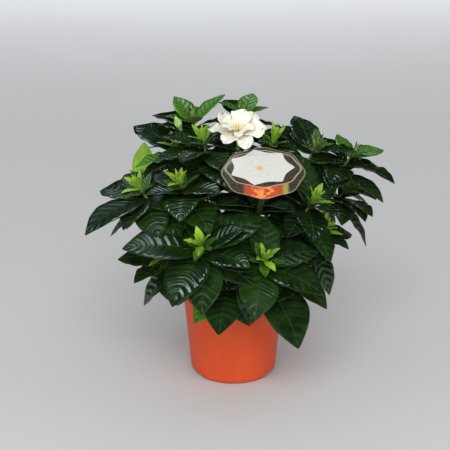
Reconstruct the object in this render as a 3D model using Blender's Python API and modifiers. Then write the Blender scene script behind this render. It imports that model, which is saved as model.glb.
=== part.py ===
# A gardenia in flower in a 13 cm grower's pot, with a plant label on a stake.
# Metres, +Z up. The origin is the middle of the pot's underside, and the plant's front faces -Y.

import itertools
import math

import bmesh
import bpy
from mathutils import Matrix, Vector
from mathutils.bvhtree import BVHTree

# Pot
POT_HEIGHT = 0.109
POT_RIM_RADIUS = 0.0643
POT_RIM_DEPTH = 0.0115
POT_WALL_TOP_RADIUS = 0.0617
POT_WALL_FOOT_RADIUS = 0.0535
POT_FOOT_STEP = 0.0010
POT_FOOT_TAPER = 0.0025
POT_FOOT_HEIGHT = 0.0085
POT_WALL = 0.0016
POT_EDGE = 0.0006
POT_PAD_RADIUS = 0.0440
POT_CHANNEL_DEPTH = 0.0055
POT_NOTCH_WIDTH = 0.026
POT_NOTCH_DEPTH = 0.0075
POT_NOTCH_ANGLES = (27, 153, 207, 333)
POT_DRAIN_SIZE = (0.007, 0.010, 0.0026)
POT_DRAIN_ANGLES = (27, 90, 153, 207, 270, 333)
POT_STEPS = 36

# Potting soil
SOIL_EDGE_LEVEL = 0.0935
SOIL_MOUND = 0.0035
SOIL_CURVE = ((0.45, 0.80), (0.85, 0.25))
SOIL_HOLE_SIDES = 12
SOIL_STEPS = 24
FIT = 0.0003
WELD = 0.00001

# Stems: a trunk for each rooted cutting, with a branch to each shoot
TRUNK_RADII = (0.0042, 0.0026)
BRANCH_RADII = (0.0021, 0.0016)
TRUNK_BURIED = 0.020
TRUNKS = {
    "front_left": {"foot": (-0.015, -0.013), "top": (-0.024, -0.026, 0.150)},
    "front_right": {"foot": (0.015, -0.011), "top": (0.026, -0.024, 0.145)},
    "back_left": {"foot": (-0.016, 0.014), "top": (-0.022, 0.020, 0.190)},
    "back_right": {"foot": (0.016, 0.015), "top": (0.024, 0.020, 0.185)},
}
TRUNK_BEND = 0.100
LOWEST_FORK = 0.108
FORK_INSET = 0.003
BRANCH_SEGMENTS = 4
BRANCH_LEAN = 0.5
BRANCH_PULL = 0.33
STEM_GAP = 0.0006
STEM_ROUNDNESS = 1
CROWN = Vector((0.0, 0.0, 0.075))

# Shoots: where each ends, and its leaves as (azimuth, pitch, length). Azimuth 0 is +X, 90 is the back.
CORE_LENGTH = 0.025
CORE_RADII = (0.0024, 0.0022)
CORE_INSET = 0.0008
TIP_LENGTH = 0.007
TIP_RADII = (0.0018, 0.0009)
CORE_SIDES = 6
SHOOTS = {
    "front_left": {
        "trunk": "front_left",
        "at": (-0.036, -0.100, 0.200),
        "mature": (
            (87, 33, 0.070), (14, 31, 0.082), (184, 5, 0.094), (142, 12, 0.058),
            (266, -50, 0.074), (237, -31, 0.080), (324, -2, 0.065), (352, 30, 0.055),
        ),
    },
    "front_right": {
        "trunk": "front_right",
        "at": (0.033, -0.100, 0.182),
        "mature": (
            (14, 7, 0.068), (262, -30, 0.070), (205, 14, 0.052), (80, 57, 0.055), (140, 42, 0.062),
            (338, -16, 0.080), (61, 27, 0.060),
        ),
    },
    "low_front": {
        "trunk": "front_left",
        "at": (-0.008, -0.080, 0.142),
        "mature": (
            (262, -23, 0.070), (302, -19, 0.055), (220, -26, 0.058), (20, 30, 0.055), (160, 30, 0.055),
        ),
        "young": (),
        "under": 0,
    },
    "low_front_right": {
        "trunk": "front_right",
        "at": (0.041, -0.080, 0.153),
        "mature": ((304, -39, 0.090), (258, -22, 0.055), (90, 40, 0.050)),
        "young": (),
        "under": 0,
    },
    "low_right": {
        "trunk": "front_right",
        "at": (0.070, -0.065, 0.152),
        "mature": ((322, 4, 0.060), (345, 40, 0.092), (60, 30, 0.055), (250, -20, 0.050)),
        "under": 3,
    },
    "low_left": {
        "trunk": "front_left",
        "at": (-0.079, -0.050, 0.166),
        "mature": ((226, 2, 0.060), (275, -32, 0.060), (168, 6, 0.064), (90, 0, 0.050)),
        "under": 3,
    },
    "left": {
        "trunk": "front_left",
        "at": (-0.107, -0.040, 0.246),
        "mature": (
            (217, -15, 0.090), (145, -2, 0.072), (287, -28, 0.065), (249, -17, 0.060),
            (120, 13, 0.050), (61, 8, 0.050), (312, -3, 0.050),
        ),
    },
    "inner_left": {
        "trunk": "front_left",
        "at": (-0.060, -0.050, 0.255),
        "mature": (
            (78, 28, 0.065), (45, 11, 0.065), (317, 10, 0.060), (266, -26, 0.065),
            (136, 19, 0.050), (200, 0, 0.050),
        ),
    },
    "inner_right": {
        "trunk": "front_right",
        "at": (0.090, -0.040, 0.230),
        "mature": (
            (55, 25, 0.058), (123, 8, 0.055), (277, -13, 0.060), (304, 6, 0.055),
            (240, -11, 0.050), (101, 41, 0.065),
        ),
    },
    "right_front": {
        "trunk": "front_right",
        "at": (0.102, -0.030, 0.190),
        "mature": (
            (35, 8, 0.055), (305, 24, 0.055), (322, 16, 0.062), (269, -15, 0.055), (125, 15, 0.045),
        ),
    },
    "right": {
        "trunk": "back_right",
        "at": (0.135, 0.020, 0.226),
        "mature": (
            (311, 17, 0.055), (307, -6, 0.060), (300, -14, 0.056), (42, 5, 0.055), (272, -12, 0.050),
        ),
    },
    "upper_right": {
        "trunk": "back_right",
        "at": (0.138, 0.010, 0.270),
        "mature": (
            (27, -13, 0.062), (322, -4, 0.072), (128, 40, 0.062), (200, 10, 0.055), (250, -5, 0.055),
        ),
        "young": ((112, 30, 0.040), (64, 12, 0.042), (30, 2, 0.048), (328, 25, 0.040)),
    },
    "upper_inner_right": {
        "trunk": "back_right",
        "at": (0.094, 0.000, 0.283),
        "mature": (
            (110, 35, 0.062), (72, 48, 0.062), (20, 8, 0.055), (165, 12, 0.058), (255, -12, 0.058),
            (305, -18, 0.055),
        ),
    },
    "flower_left": {
        "trunk": "back_left",
        "at": (-0.035, -0.015, 0.296),
        "mature": ((190, -5, 0.062), (245, -12, 0.060), (310, -14, 0.060), (150, 10, 0.055)),
    },
    "flower_right": {
        "trunk": "back_right",
        "at": (0.045, 0.000, 0.290),
        "mature": (
            (48, 28, 0.065), (309, 13, 0.050), (98, 44, 0.055), (345, -8, 0.060), (250, -15, 0.050),
        ),
    },
    "upper_left": {
        "trunk": "back_left",
        "at": (-0.066, 0.012, 0.280),
        "mature": (
            (150, 35, 0.078), (190, -7, 0.056), (285, 5, 0.050), (60, 0, 0.050), (238, -20, 0.060),
        ),
    },
    "top_left": {
        "trunk": "back_left",
        "at": (-0.047, 0.030, 0.306),
        "mature": ((145, 8, 0.066), (100, -8, 0.060), (30, -5, 0.055), (200, -5, 0.060)),
        "young": ((132, 37, 0.045), (88, 40, 0.046), (34, 24, 0.053), (270, 30, 0.035), (168, 30, 0.037)),
    },
    "top": {
        "trunk": "back_right",
        "at": (0.012, 0.044, 0.312),
        "mature": ((118, 36, 0.052), (20, -8, 0.055), (170, -8, 0.055), (95, -18, 0.060)),
        "young": ((70, 32, 0.039), (35, 8, 0.036), (160, 22, 0.036)),
    },
    "back_left": {
        "trunk": "back_left",
        "at": (-0.108, 0.060, 0.220),
        "young": ((98, 58, 0.054), (20, 50, 0.030), (205, 45, 0.028), (300, 50, 0.026)),
    },
    "back_upper_left": {"trunk": "back_left", "at": (-0.050, 0.095, 0.262)},
    "back_upper_right": {"trunk": "back_right", "at": (0.055, 0.090, 0.268)},
    "back_right": {"trunk": "back_right", "at": (0.112, 0.088, 0.222)},
    "back": {"trunk": "back_left", "at": (0.000, 0.122, 0.208)},
    "back_low_left": {"trunk": "back_left", "at": (-0.062, 0.098, 0.156), "young": (), "under": 0},
    "back_low_right": {"trunk": "back_right", "at": (0.066, 0.102, 0.158), "young": (), "under": 0},
    "inner": {
        "trunk": "front_right",
        "at": (0.028, -0.034, 0.225),
        "mature": (
            (300, 10, 0.068), (340, 0, 0.068), (262, -8, 0.068), (30, 5, 0.062), (200, 0, 0.070),
            (235, 12, 0.066), (160, 15, 0.062), (100, 20, 0.060),
        ),
        "young": (),
    },
}

# Leaf blades
MATURE_LEAF = {"width": 0.56, "bend": 30, "segments": 5, "waist": 0.95, "round": 0.80}
INNER_LEAF = {**MATURE_LEAF, "segments": 4}
YOUNG_LEAF = {"width": 0.48, "bend": 10, "segments": 3, "waist": 0.95, "round": 0.80}
RIPENING_LEAF = {**YOUNG_LEAF, "width": 0.62}
LEAF_THICKNESS = 0.0009
PETIOLE_HALF_WIDTH = 0.0011
TIP_HALF_WIDTH = 0.0004
WHORL_STEPS = (0.0035, 0.0100)
UNDER_STEP = 0.0200
UNDER_SPREAD = 98
UNDER_LENGTH = 0.066
WHORL_PITCH = 5
UNDER_COUNT = 4
UNDER_TURN = 70
YOUNG_COUNT = 4
YOUNG_LENGTH = 0.025
YOUNG_SPREAD = 36
YOUNG_TURN = 20
YOUNG_LEVELS = (0.35, 0.47, 0.59)
BACK_COUNT = 3
BACK_LENGTHS = (0.072, 0.064)
BACK_SPREADS = (82, 58)
BACK_TURNS = (30, 90)
CROWDED_SHARE = 0.3
CLEARANCE = 0.0024
SETTLING_ANGLE = 9
SIZE_WEIGHT = 14
TURNS = (0, -9, 9, -18, 18, -28, 28, -40, 40)
LIFTS = (0, -9, 9, -18, 18, -28, 28)
SIZES = (1.0, 0.9, 0.8, 0.68)

# Flower
FLOWER_AT = Vector((0.004, -0.032, 0.312))
FLOWER_ELEVATION = 68
FLOWER_AZIMUTH = 265
FLOWER_DISC_RADII = (0.0042, 0.0034)
FLOWER_DISC_DEPTH = 0.0036
FLOWER_DISC_SIDES = 8
FLOWER_TRUNK = "back_right"
CALYX_LENGTH = 0.016
CALYX_PROFILE = (
    (0.0, 0.0), (0.0036, -0.0004), (0.0034, -0.005), (0.0022, -0.0095), (0.0018, -CALYX_LENGTH),
    (0.0, -CALYX_LENGTH),
)
CALYX_STEPS = 10
OUTER_PETALS = {"count": 6, "length": 0.034, "spread": 82, "turn": 0}
INNER_PETALS = {"count": 5, "length": 0.024, "spread": 46, "turn": 36}
PETAL = {"width": 0.86, "bend": 26, "segments": 5, "waist": 1.55, "round": 0.5}
PETAL_THICKNESS = 0.001
PETAL_RUFFLE = 4
PETAL_START = 0.0023
STYLE_PROFILE = (
    (0.0, 0.013), (0.0012, 0.0122), (0.0016, 0.0091), (0.0010, 0.0059), (0.0009, 0.0), (0.0, 0.0),
)
STYLE_STEPS = 8

# Closed flower bud beside the top left shoot
BUD_AT = Vector((-0.063, 0.014, 0.306))
BUD_AZIMUTH = 230
BUD_ELEVATION = 62
BUD_TRUNK = "back_left"
BUD_PROFILE = (
    (0.0, 0.021), (0.0022, 0.0179), (0.0048, 0.0105), (0.0038, 0.0059), (0.0020, 0.0021), (0.0017, 0.0),
    (0.0, 0.0),
)
BUD_STEPS = 10

# Plant label
CARD_AT = Vector((0.033, -0.070, 0.279))
CARD_WIDTH = 0.096
CARD_HEIGHT = 0.066
CARD_SCALLOPS = 8
CARD_SCALLOP_DEPTH = 0.0022
CARD_POINTS = 5
CARD_THICKNESS = 0.0010
CARD_LEAN = 45
STAKE_WIDTH = 0.007
STAKE_THICKNESS = 0.0012
STAKE_LAP = (0.004, -0.022)
STAKE_ROUTE = (
    (0.030, -0.080, 0.243), (0.024, -0.063, 0.215), (0.016, -0.050, 0.183),
    (0.009, -0.043, 0.150), (0.004, -0.040, 0.115), (0.004, -0.040, 0.064),
)


def clear_scene():
    for obj in list(bpy.data.objects):
        bpy.data.objects.remove(obj, do_unlink=True)


def new_collection(name, parent):
    collection = bpy.data.collections.new(name)
    parent.children.link(collection)
    return collection


def new_material(name, colour, roughness, metallic=0.0):
    material = bpy.data.materials.new(name)
    material.use_nodes = True
    shader = material.node_tree.nodes["Principled BSDF"]
    shader.inputs["Base Color"].default_value = (*colour, 1.0)
    shader.inputs["Roughness"].default_value = roughness
    shader.inputs["Metallic"].default_value = metallic
    return material


def add_object(name, mesh, collection, material=None):
    obj = bpy.data.objects.new(name, mesh)
    collection.objects.link(obj)
    if material is None:
        obj.hide_render = True
        obj.display_type = "WIRE"
    else:
        mesh.materials.append(material)
    return obj


def mesh_of(bm, name):
    mesh = bpy.data.meshes.new(name)
    bm.to_mesh(mesh)
    bm.free()
    return mesh


def boolean(obj, operation, other):
    modifier = obj.modifiers.new(operation.title(), "BOOLEAN")
    modifier.operation = operation
    modifier.solver = "EXACT"
    if isinstance(other, bpy.types.Collection):
        modifier.operand_type = "COLLECTION"
        modifier.collection = other
    else:
        modifier.object = other


def turned(name, profile, steps, collection, material):
    """A solid of revolution from (radius, height) points that start and end on the axis."""
    mesh = bpy.data.meshes.new(name)
    points = [(radius, 0.0, height) for radius, height in profile]
    mesh.from_pydata(points, [(i, i + 1) for i in range(len(points) - 1)], [])
    obj = add_object(name, mesh, collection, material)
    screw = obj.modifiers.new("Turned", "SCREW")
    screw.steps = steps
    screw.render_steps = steps
    screw.use_merge_vertices = True
    screw.merge_threshold = 0.0001
    screw.use_smooth_shade = True
    return obj


def tube_mesh(name, points, radii):
    """A closed round tube through the points, tapering from the first radius to the last."""
    curve = bpy.data.curves.new(name, "CURVE")
    curve.dimensions = "3D"
    curve.bevel_depth = 1.0
    curve.bevel_resolution = STEM_ROUNDNESS
    curve.use_fill_caps = True
    spline = curve.splines.new("POLY")
    spline.points.add(len(points) - 1)
    for i, point in enumerate(points):
        share = i / (len(points) - 1)
        spline.points[i].co = (*point, 1.0)
        spline.points[i].radius = radii[0] + share * (radii[1] - radii[0])
    holder = bpy.data.objects.new(name, curve)
    bpy.context.scene.collection.objects.link(holder)
    graph = bpy.context.evaluated_depsgraph_get()
    mesh = bpy.data.meshes.new_from_object(holder.evaluated_get(graph))
    bpy.data.objects.remove(holder, do_unlink=True)
    bm = bmesh.new()
    bm.from_mesh(mesh)
    bmesh.ops.remove_doubles(bm, verts=bm.verts[:], dist=WELD)
    bmesh.ops.recalc_face_normals(bm, faces=bm.faces[:])
    bm.to_mesh(mesh)
    bm.free()
    return mesh


def cylinder_mesh(name, radii, height, place, sides):
    """A closed cylinder or cone standing on the place's origin, along its Z."""
    bm = bmesh.new()
    bmesh.ops.create_cone(
        bm, cap_ends=True, cap_tris=False, segments=sides, radius1=radii[0], radius2=radii[1],
        depth=height, matrix=place @ Matrix.Translation((0.0, 0.0, height / 2)),
    )
    return mesh_of(bm, name)


def box_mesh(name, size, place):
    bm = bmesh.new()
    bmesh.ops.create_cube(bm, size=1.0, matrix=place @ Matrix.Diagonal((*size, 1.0)))
    return mesh_of(bm, name)


def frame_along(point, axis):
    """A matrix at the point whose Z is the axis."""
    return Matrix.Translation(point) @ axis.to_track_quat("Z", "Y").to_matrix().to_4x4()


def heading(azimuth, pitch):
    around = math.radians(azimuth)
    up = math.radians(pitch)
    return Vector((math.cos(around) * math.cos(up), math.sin(around) * math.cos(up), math.sin(up)))


def shoot_axis(shoot):
    return (Vector(shoot["at"]) - CROWN).normalized()


def half_width(along, length, kind):
    """A blade's half width: narrow at the stalk, widest where its kind says, and closing at the tip."""
    full = max(0.0, math.sin(math.pi * along ** kind["waist"])) ** kind["round"]
    least = PETIOLE_HALF_WIDTH + along * (TIP_HALF_WIDTH - PETIOLE_HALF_WIDTH)
    return max(least, full * kind["width"] * length / 2)


def arch(along, length, bend):
    """How far along and above its chord a point of an arched midrib lies."""
    rest = bend * (0.5 - along)
    forward = (math.sin(bend / 2) - math.sin(rest)) / bend
    rise = (math.cos(rest) - math.cos(bend / 2)) / bend
    return forward * length, rise * length


def blade(base, direction, hint, length, kind, thickness):
    """A leaf or petal as a closed thin solid: a grid shaped along its arched midrib, then thickened."""
    normal = (hint - hint.project(direction)).normalized()
    side = normal.cross(direction)
    bm = bmesh.new()
    bmesh.ops.create_grid(bm, x_segments=kind["segments"], y_segments=1, size=0.5)
    for vert in bm.verts:
        along = vert.co.x + 0.5
        across = 2 * vert.co.y
        reach = half_width(along, length, kind)
        forward, rise = arch(along, length, math.radians(kind["bend"]))
        vert.co = base + direction * forward + normal * (rise + thickness / 2) + side * across * reach
    bm.normal_update()
    bmesh.ops.solidify(bm, geom=bm.faces[:], thickness=thickness)
    return bm


class Placed:
    """The solids already in place, which a new blade has to keep clear of."""

    def __init__(self):
        self.solids = []

    def add(self, bm, node):
        self.solids.append((BVHTree.FromBMesh(bm), *corners(bm), node))

    def add_mesh(self, mesh, node, place=None):
        bm = bmesh.new()
        bm.from_mesh(mesh)
        if place is not None:
            bm.transform(place)
        self.add(bm, node)
        bm.free()

    def add_objects(self, objects):
        graph = bpy.context.evaluated_depsgraph_get()
        for obj in objects:
            evaluated = obj.evaluated_get(graph)
            self.add_mesh(evaluated.to_mesh(), obj.name, obj.matrix_world)
            evaluated.to_mesh_clear()

    def touches(self, bm, node, same):
        """Whether the shape meets a solid of the node, or with same False, of any other node."""
        low, high = corners(bm)
        tree = BVHTree.FromBMesh(bm)
        for other, other_low, other_high, other_node in self.solids:
            if (node == other_node) != same:
                continue
            apart = any(high[i] < other_low[i] or other_high[i] < low[i] for i in range(3))
            if not apart and tree.overlap(other):
                return True
        return False


def corners(bm):
    low = [min(vert.co[i] for vert in bm.verts) for i in range(3)]
    high = [max(vert.co[i] for vert in bm.verts) for i in range(3)]
    return low, high


def outer_part(bm, base, reach):
    """The part of a blade away from its base, where it may not cross its own neighbours."""
    outer = bm.copy()
    near = [vert for vert in outer.verts if (vert.co - base).length < reach]
    bmesh.ops.delete(outer, geom=near, context="VERTS")
    return outer


def change(way):
    """How much a settling of (turn, lift, size) alters a blade."""
    turn, lift, size = way
    return (abs(turn) + abs(lift)) / SETTLING_ANGLE + SIZE_WEIGHT * (1 - size)


def settlings():
    """Ways to settle a blade among its neighbours, the least change first."""
    ways = itertools.product(TURNS, LIFTS, SIZES)
    return sorted(ways, key=change)


def settled_blade(placed, outers, node, base, leaf, kind, hint):
    """The first settling of the leaf that is clear of everything, or None where there is no room."""
    azimuth, pitch, length = leaf
    for turn, lift, size in settlings():
        direction = heading(azimuth + turn, pitch + lift)
        start = base + direction * CORE_INSET
        grown = length * size
        test = blade(start, direction, hint, grown, kind, LEAF_THICKNESS + CLEARANCE)
        outer = outer_part(test, base, CROWDED_SHARE * grown)
        clear = not placed.touches(test, node, False) and not outers.touches(outer, node, True)
        test.free()
        if clear:
            found = blade(start, direction, hint, grown, kind, LEAF_THICKNESS)
            placed.add(found, node)
            outers.add(outer, node)
            outer.free()
            return found
        outer.free()
    return None


def whorl(axis, count, spread, turn, length):
    """Leaves evenly around an axis, each leaning from it by the spread, as (azimuth, pitch, length)."""
    along = axis.cross(Vector((0.0, 0.0, 1.0))).normalized()
    leaves = []
    for i in range(count):
        around = along.copy()
        around.rotate(Matrix.Rotation(math.radians(turn + 360 * i / count), 3, axis))
        direction = axis * math.cos(math.radians(spread)) + around * math.sin(math.radians(spread))
        azimuth = math.degrees(math.atan2(direction.y, direction.x))
        leaves.append((azimuth, math.degrees(math.asin(direction.z)), length))
    return leaves


def add_cluster(node, core, blades, collection, guides, material):
    """One node: a core with its blades joined to it."""
    own = new_collection("guides_" + node, guides)
    for i, bm in enumerate(blades):
        add_object(f"blade_{node}_{i + 1}", mesh_of(bm, node), own)
    core.shade_smooth()
    obj = add_object(node, core, collection, material)
    if blades:
        boolean(obj, "UNION", own)
    return obj


def mature_leaves(shoot):
    """The shoot's grown leaves as ((azimuth, pitch, length), distance below the tip, kind)."""
    axis = shoot_axis(shoot)
    if "mature" in shoot:
        leaves = list(shoot["mature"])
    else:
        leaves = []
        for spread, turn, length in zip(BACK_SPREADS, BACK_TURNS, BACK_LENGTHS):
            leaves += whorl(axis, BACK_COUNT, spread, turn, length)
    kind = MATURE_LEAF if "mature" in shoot else INNER_LEAF
    found = []
    for leaf in leaves:
        down = WHORL_STEPS[0] if leaf[1] > WHORL_PITCH else WHORL_STEPS[1]
        found.append((leaf, down, kind))
    under = whorl(axis, shoot.get("under", UNDER_COUNT), UNDER_SPREAD, UNDER_TURN, UNDER_LENGTH)
    return found + [(leaf, UNDER_STEP, INNER_LEAF) for leaf in under]


def young_leaves(shoot):
    """The leaves round the shoot's tip as ((azimuth, pitch, length), distance below the tip, kind)."""
    if "young" in shoot:
        leaves = shoot["young"]
    else:
        leaves = whorl(shoot_axis(shoot), YOUNG_COUNT, YOUNG_SPREAD, YOUNG_TURN, YOUNG_LENGTH)
    kind = RIPENING_LEAF if shoot.get("young") else YOUNG_LEAF
    found = []
    for i, leaf in enumerate(leaves):
        level = YOUNG_LEVELS[i % len(YOUNG_LEVELS)]
        found.append((leaf, -(FIT + TIP_LENGTH * level), kind))
    return found


def shoot_cores(name, shoot):
    """The bare stalks of a shoot's two nodes, as {node: mesh}: its growing tip, and its end under that."""
    end = Vector(shoot["at"])
    axis = shoot_axis(shoot)
    cores = {}
    if young_leaves(shoot):
        node = "young_leaves_" + name
        place = frame_along(end + axis * FIT, axis)
        cores[node] = cylinder_mesh(node, TIP_RADII, TIP_LENGTH, place, CORE_SIDES)
    node = "leaves_" + name
    place = frame_along(end - axis * CORE_LENGTH, axis)
    cores[node] = cylinder_mesh(node, CORE_RADII, CORE_LENGTH, place, CORE_SIDES)
    return cores


def add_shoot(name, shoot, cores, placed, outers, collection, guides, materials):
    """A shoot's young leaves round its tip, and its mature leaves under them."""
    end = Vector(shoot["at"])
    axis = shoot_axis(shoot)
    hint = (axis + Vector((0.0, 0.0, 1.0))).normalized()
    for node, core in cores.items():
        blades = []
        if node.startswith("young"):
            material = materials["young leaf"]
            leaves = young_leaves(shoot)
        else:
            material = materials["mature leaf"]
            leaves = mature_leaves(shoot)
        for leaf, down, kind in leaves:
            found = settled_blade(placed, outers, node, end - axis * down, leaf, kind, hint)
            if found:
                blades.append(found)
        add_cluster(node, core, blades, collection, guides, material)


def trunk_point(trunk, height):
    foot = Vector((*trunk["foot"], TRUNK_BEND))
    top = Vector(trunk["top"])
    return foot.lerp(top, (height - TRUNK_BEND) / (top.z - TRUNK_BEND))


def branch_route(start, end, axis):
    """A smooth route from the trunk, rising at first, that arrives along the shoot's axis."""
    reach = (end - start).length
    rising = start + (Vector((0.0, 0.0, 1.0)) + axis * BRANCH_LEAN).normalized() * reach * BRANCH_PULL
    arriving = end - axis * reach * BRANCH_PULL
    points = []
    for i in range(BRANCH_SEGMENTS + 1):
        s = i / BRANCH_SEGMENTS
        near = (1 - s) ** 3 * start + 3 * (1 - s) ** 2 * s * rising
        points.append(near + 3 * (1 - s) * s**2 * arriving + s**3 * end)
    return points


def branch_ends():
    """For each trunk, the (point, axis) where each of its branches ends, the lowest first."""
    ends = {name: [] for name in TRUNKS}
    for shoot in SHOOTS.values():
        axis = shoot_axis(shoot)
        ends[shoot["trunk"]].append((Vector(shoot["at"]) - axis * (CORE_LENGTH + STEM_GAP), axis))
    axis = heading(FLOWER_AZIMUTH, FLOWER_ELEVATION)
    ends[FLOWER_TRUNK].append((FLOWER_AT - axis * (CALYX_LENGTH + STEM_GAP), axis))
    axis = bud_axis()
    ends[BUD_TRUNK].append((BUD_AT - axis * STEM_GAP, axis))
    return {name: sorted(found, key=lambda end: end[0].z) for name, found in ends.items()}


def bud_axis():
    return heading(BUD_AZIMUTH, BUD_ELEVATION)


def add_trunks(collection, guides, material):
    trunks = []
    ends = branch_ends()
    for name, trunk in TRUNKS.items():
        node = "stem_" + name
        own = new_collection("guides_" + node, guides)
        foot = Vector((*trunk["foot"], SOIL_EDGE_LEVEL - TRUNK_BURIED))
        route = [foot, Vector((*trunk["foot"], TRUNK_BEND)), Vector(trunk["top"])]
        obj = add_object(node, tube_mesh(node, route, TRUNK_RADII), collection, material)
        highest = trunk["top"][2] - FORK_INSET
        for i, (end, axis) in enumerate(ends[name]):
            share = i / (len(ends[name]) - 1)
            start = trunk_point(trunk, LOWEST_FORK + share * (highest - LOWEST_FORK))
            branch = tube_mesh(f"branch_{name}_{i + 1}", branch_route(start, end, axis), BRANCH_RADII)
            add_object(branch.name, branch, own)
        boolean(obj, "UNION", own)
        obj.data.shade_smooth()
        trunks.append(obj)
    return trunks


def add_pot(collection, guides, material):
    """The turned pot: a pad and a foot ring to stand on, with a raised drain channel between them."""
    wall = POT_WALL
    shoulder = POT_HEIGHT - POT_RIM_DEPTH
    foot = POT_WALL_FOOT_RADIUS - POT_FOOT_STEP
    low = foot - POT_FOOT_TAPER
    profile = (
        (0.0, wall),
        (POT_PAD_RADIUS - wall, wall),
        (POT_PAD_RADIUS, POT_CHANNEL_DEPTH + wall),
        (foot - wall, POT_CHANNEL_DEPTH + wall),
        (POT_WALL_FOOT_RADIUS - wall, POT_FOOT_HEIGHT + wall),
        (POT_WALL_TOP_RADIUS - wall, shoulder - wall),
        (POT_RIM_RADIUS - POT_EDGE - wall, shoulder + wall),
        (POT_RIM_RADIUS - wall, POT_HEIGHT - POT_EDGE),
        (POT_RIM_RADIUS - wall / 2, POT_HEIGHT),
        (POT_RIM_RADIUS, POT_HEIGHT - POT_EDGE),
        (POT_RIM_RADIUS - POT_EDGE, shoulder),
        (POT_WALL_TOP_RADIUS, shoulder - POT_EDGE),
        (POT_WALL_FOOT_RADIUS, POT_FOOT_HEIGHT + POT_EDGE),
        (foot, POT_FOOT_HEIGHT),
        (low, 0.0),
        (low - wall, 0.0),
        (foot - 2 * wall, POT_CHANNEL_DEPTH),
        (POT_PAD_RADIUS + wall, POT_CHANNEL_DEPTH),
        (POT_PAD_RADIUS, 0.0),
        (0.0, 0.0),
    )
    pot = turned("pot", profile, POT_STEPS, collection, material)
    cutters = new_collection("guides_pot", guides)
    notch_middle = POT_PAD_RADIUS + wall + FIT + POT_NOTCH_DEPTH / 2
    for angle in POT_NOTCH_ANGLES:
        turn = Matrix.Rotation(math.radians(angle), 4, "Z")
        place = turn @ Matrix.Translation((notch_middle, 0.0, 0.0))
        size = (POT_NOTCH_DEPTH, POT_NOTCH_WIDTH, 2 * (POT_CHANNEL_DEPTH - FIT))
        add_object(f"notch_{angle}", box_mesh("notch", size, place), cutters)
    for angle in POT_DRAIN_ANGLES:
        turn = Matrix.Rotation(math.radians(angle), 4, "Z")
        place = turn @ Matrix.Translation((POT_PAD_RADIUS, 0.0, (POT_CHANNEL_DEPTH + wall) / 2))
        add_object(f"drain_{angle}", box_mesh("drain", POT_DRAIN_SIZE, place), cutters)
    boolean(pot, "DIFFERENCE", cutters)
    return pot


def add_soil(collection, guides, material):
    """The potting soil, filling the pot to under its rim, with a hole for each stem and the stake."""
    def wall_radius(height):
        share = (height - POT_FOOT_HEIGHT) / (POT_HEIGHT - POT_RIM_DEPTH - POT_FOOT_HEIGHT)
        outer = POT_WALL_FOOT_RADIUS + share * (POT_WALL_TOP_RADIUS - POT_WALL_FOOT_RADIUS)
        return outer - POT_WALL - 2 * FIT

    floor = POT_CHANNEL_DEPTH + POT_WALL + FIT
    low = POT_FOOT_HEIGHT + POT_WALL
    top = [(wall_radius(low) * out, SOIL_EDGE_LEVEL + SOIL_MOUND * up) for out, up in SOIL_CURVE]
    profile = (
        (0.0, SOIL_EDGE_LEVEL + SOIL_MOUND),
        *top,
        (wall_radius(SOIL_EDGE_LEVEL), SOIL_EDGE_LEVEL),
        (wall_radius(low), low),
        (POT_WALL_FOOT_RADIUS - POT_FOOT_STEP - POT_WALL - 2 * FIT, floor),
        (POT_PAD_RADIUS - FIT, floor),
        (POT_PAD_RADIUS - POT_WALL - 3 * FIT, POT_WALL + FIT),
        (0.0, POT_WALL + FIT),
    )
    soil = turned("potting_soil", profile, SOIL_STEPS, collection, material)
    cutters = new_collection("guides_soil", guides)
    depth = TRUNK_BURIED + FIT
    for name, trunk in TRUNKS.items():
        place = Matrix.Translation((*trunk["foot"], SOIL_EDGE_LEVEL - depth))
        radius = TRUNK_RADII[0] + 2 * FIT
        hole = cylinder_mesh("hole_" + name, (radius, radius), 2 * depth, place, SOIL_HOLE_SIDES)
        add_object(hole.name, hole, cutters)
    x, y, z = STAKE_ROUTE[-1]
    size = (STAKE_WIDTH + 2 * FIT, STAKE_THICKNESS + 2 * FIT, 2 * (SOIL_EDGE_LEVEL - z + FIT))
    slot = box_mesh("stake_slot", size, Matrix.Translation((x, y, SOIL_EDGE_LEVEL)))
    add_object("stake_slot", slot, cutters)
    boolean(soil, "DIFFERENCE", cutters)
    return soil


def card_frame():
    """The card's own axes: X along its width, Y up it, Z out of its printed face."""
    return Matrix.Translation(CARD_AT) @ Matrix.Rotation(math.radians(90 - CARD_LEAN), 4, "X")


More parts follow.
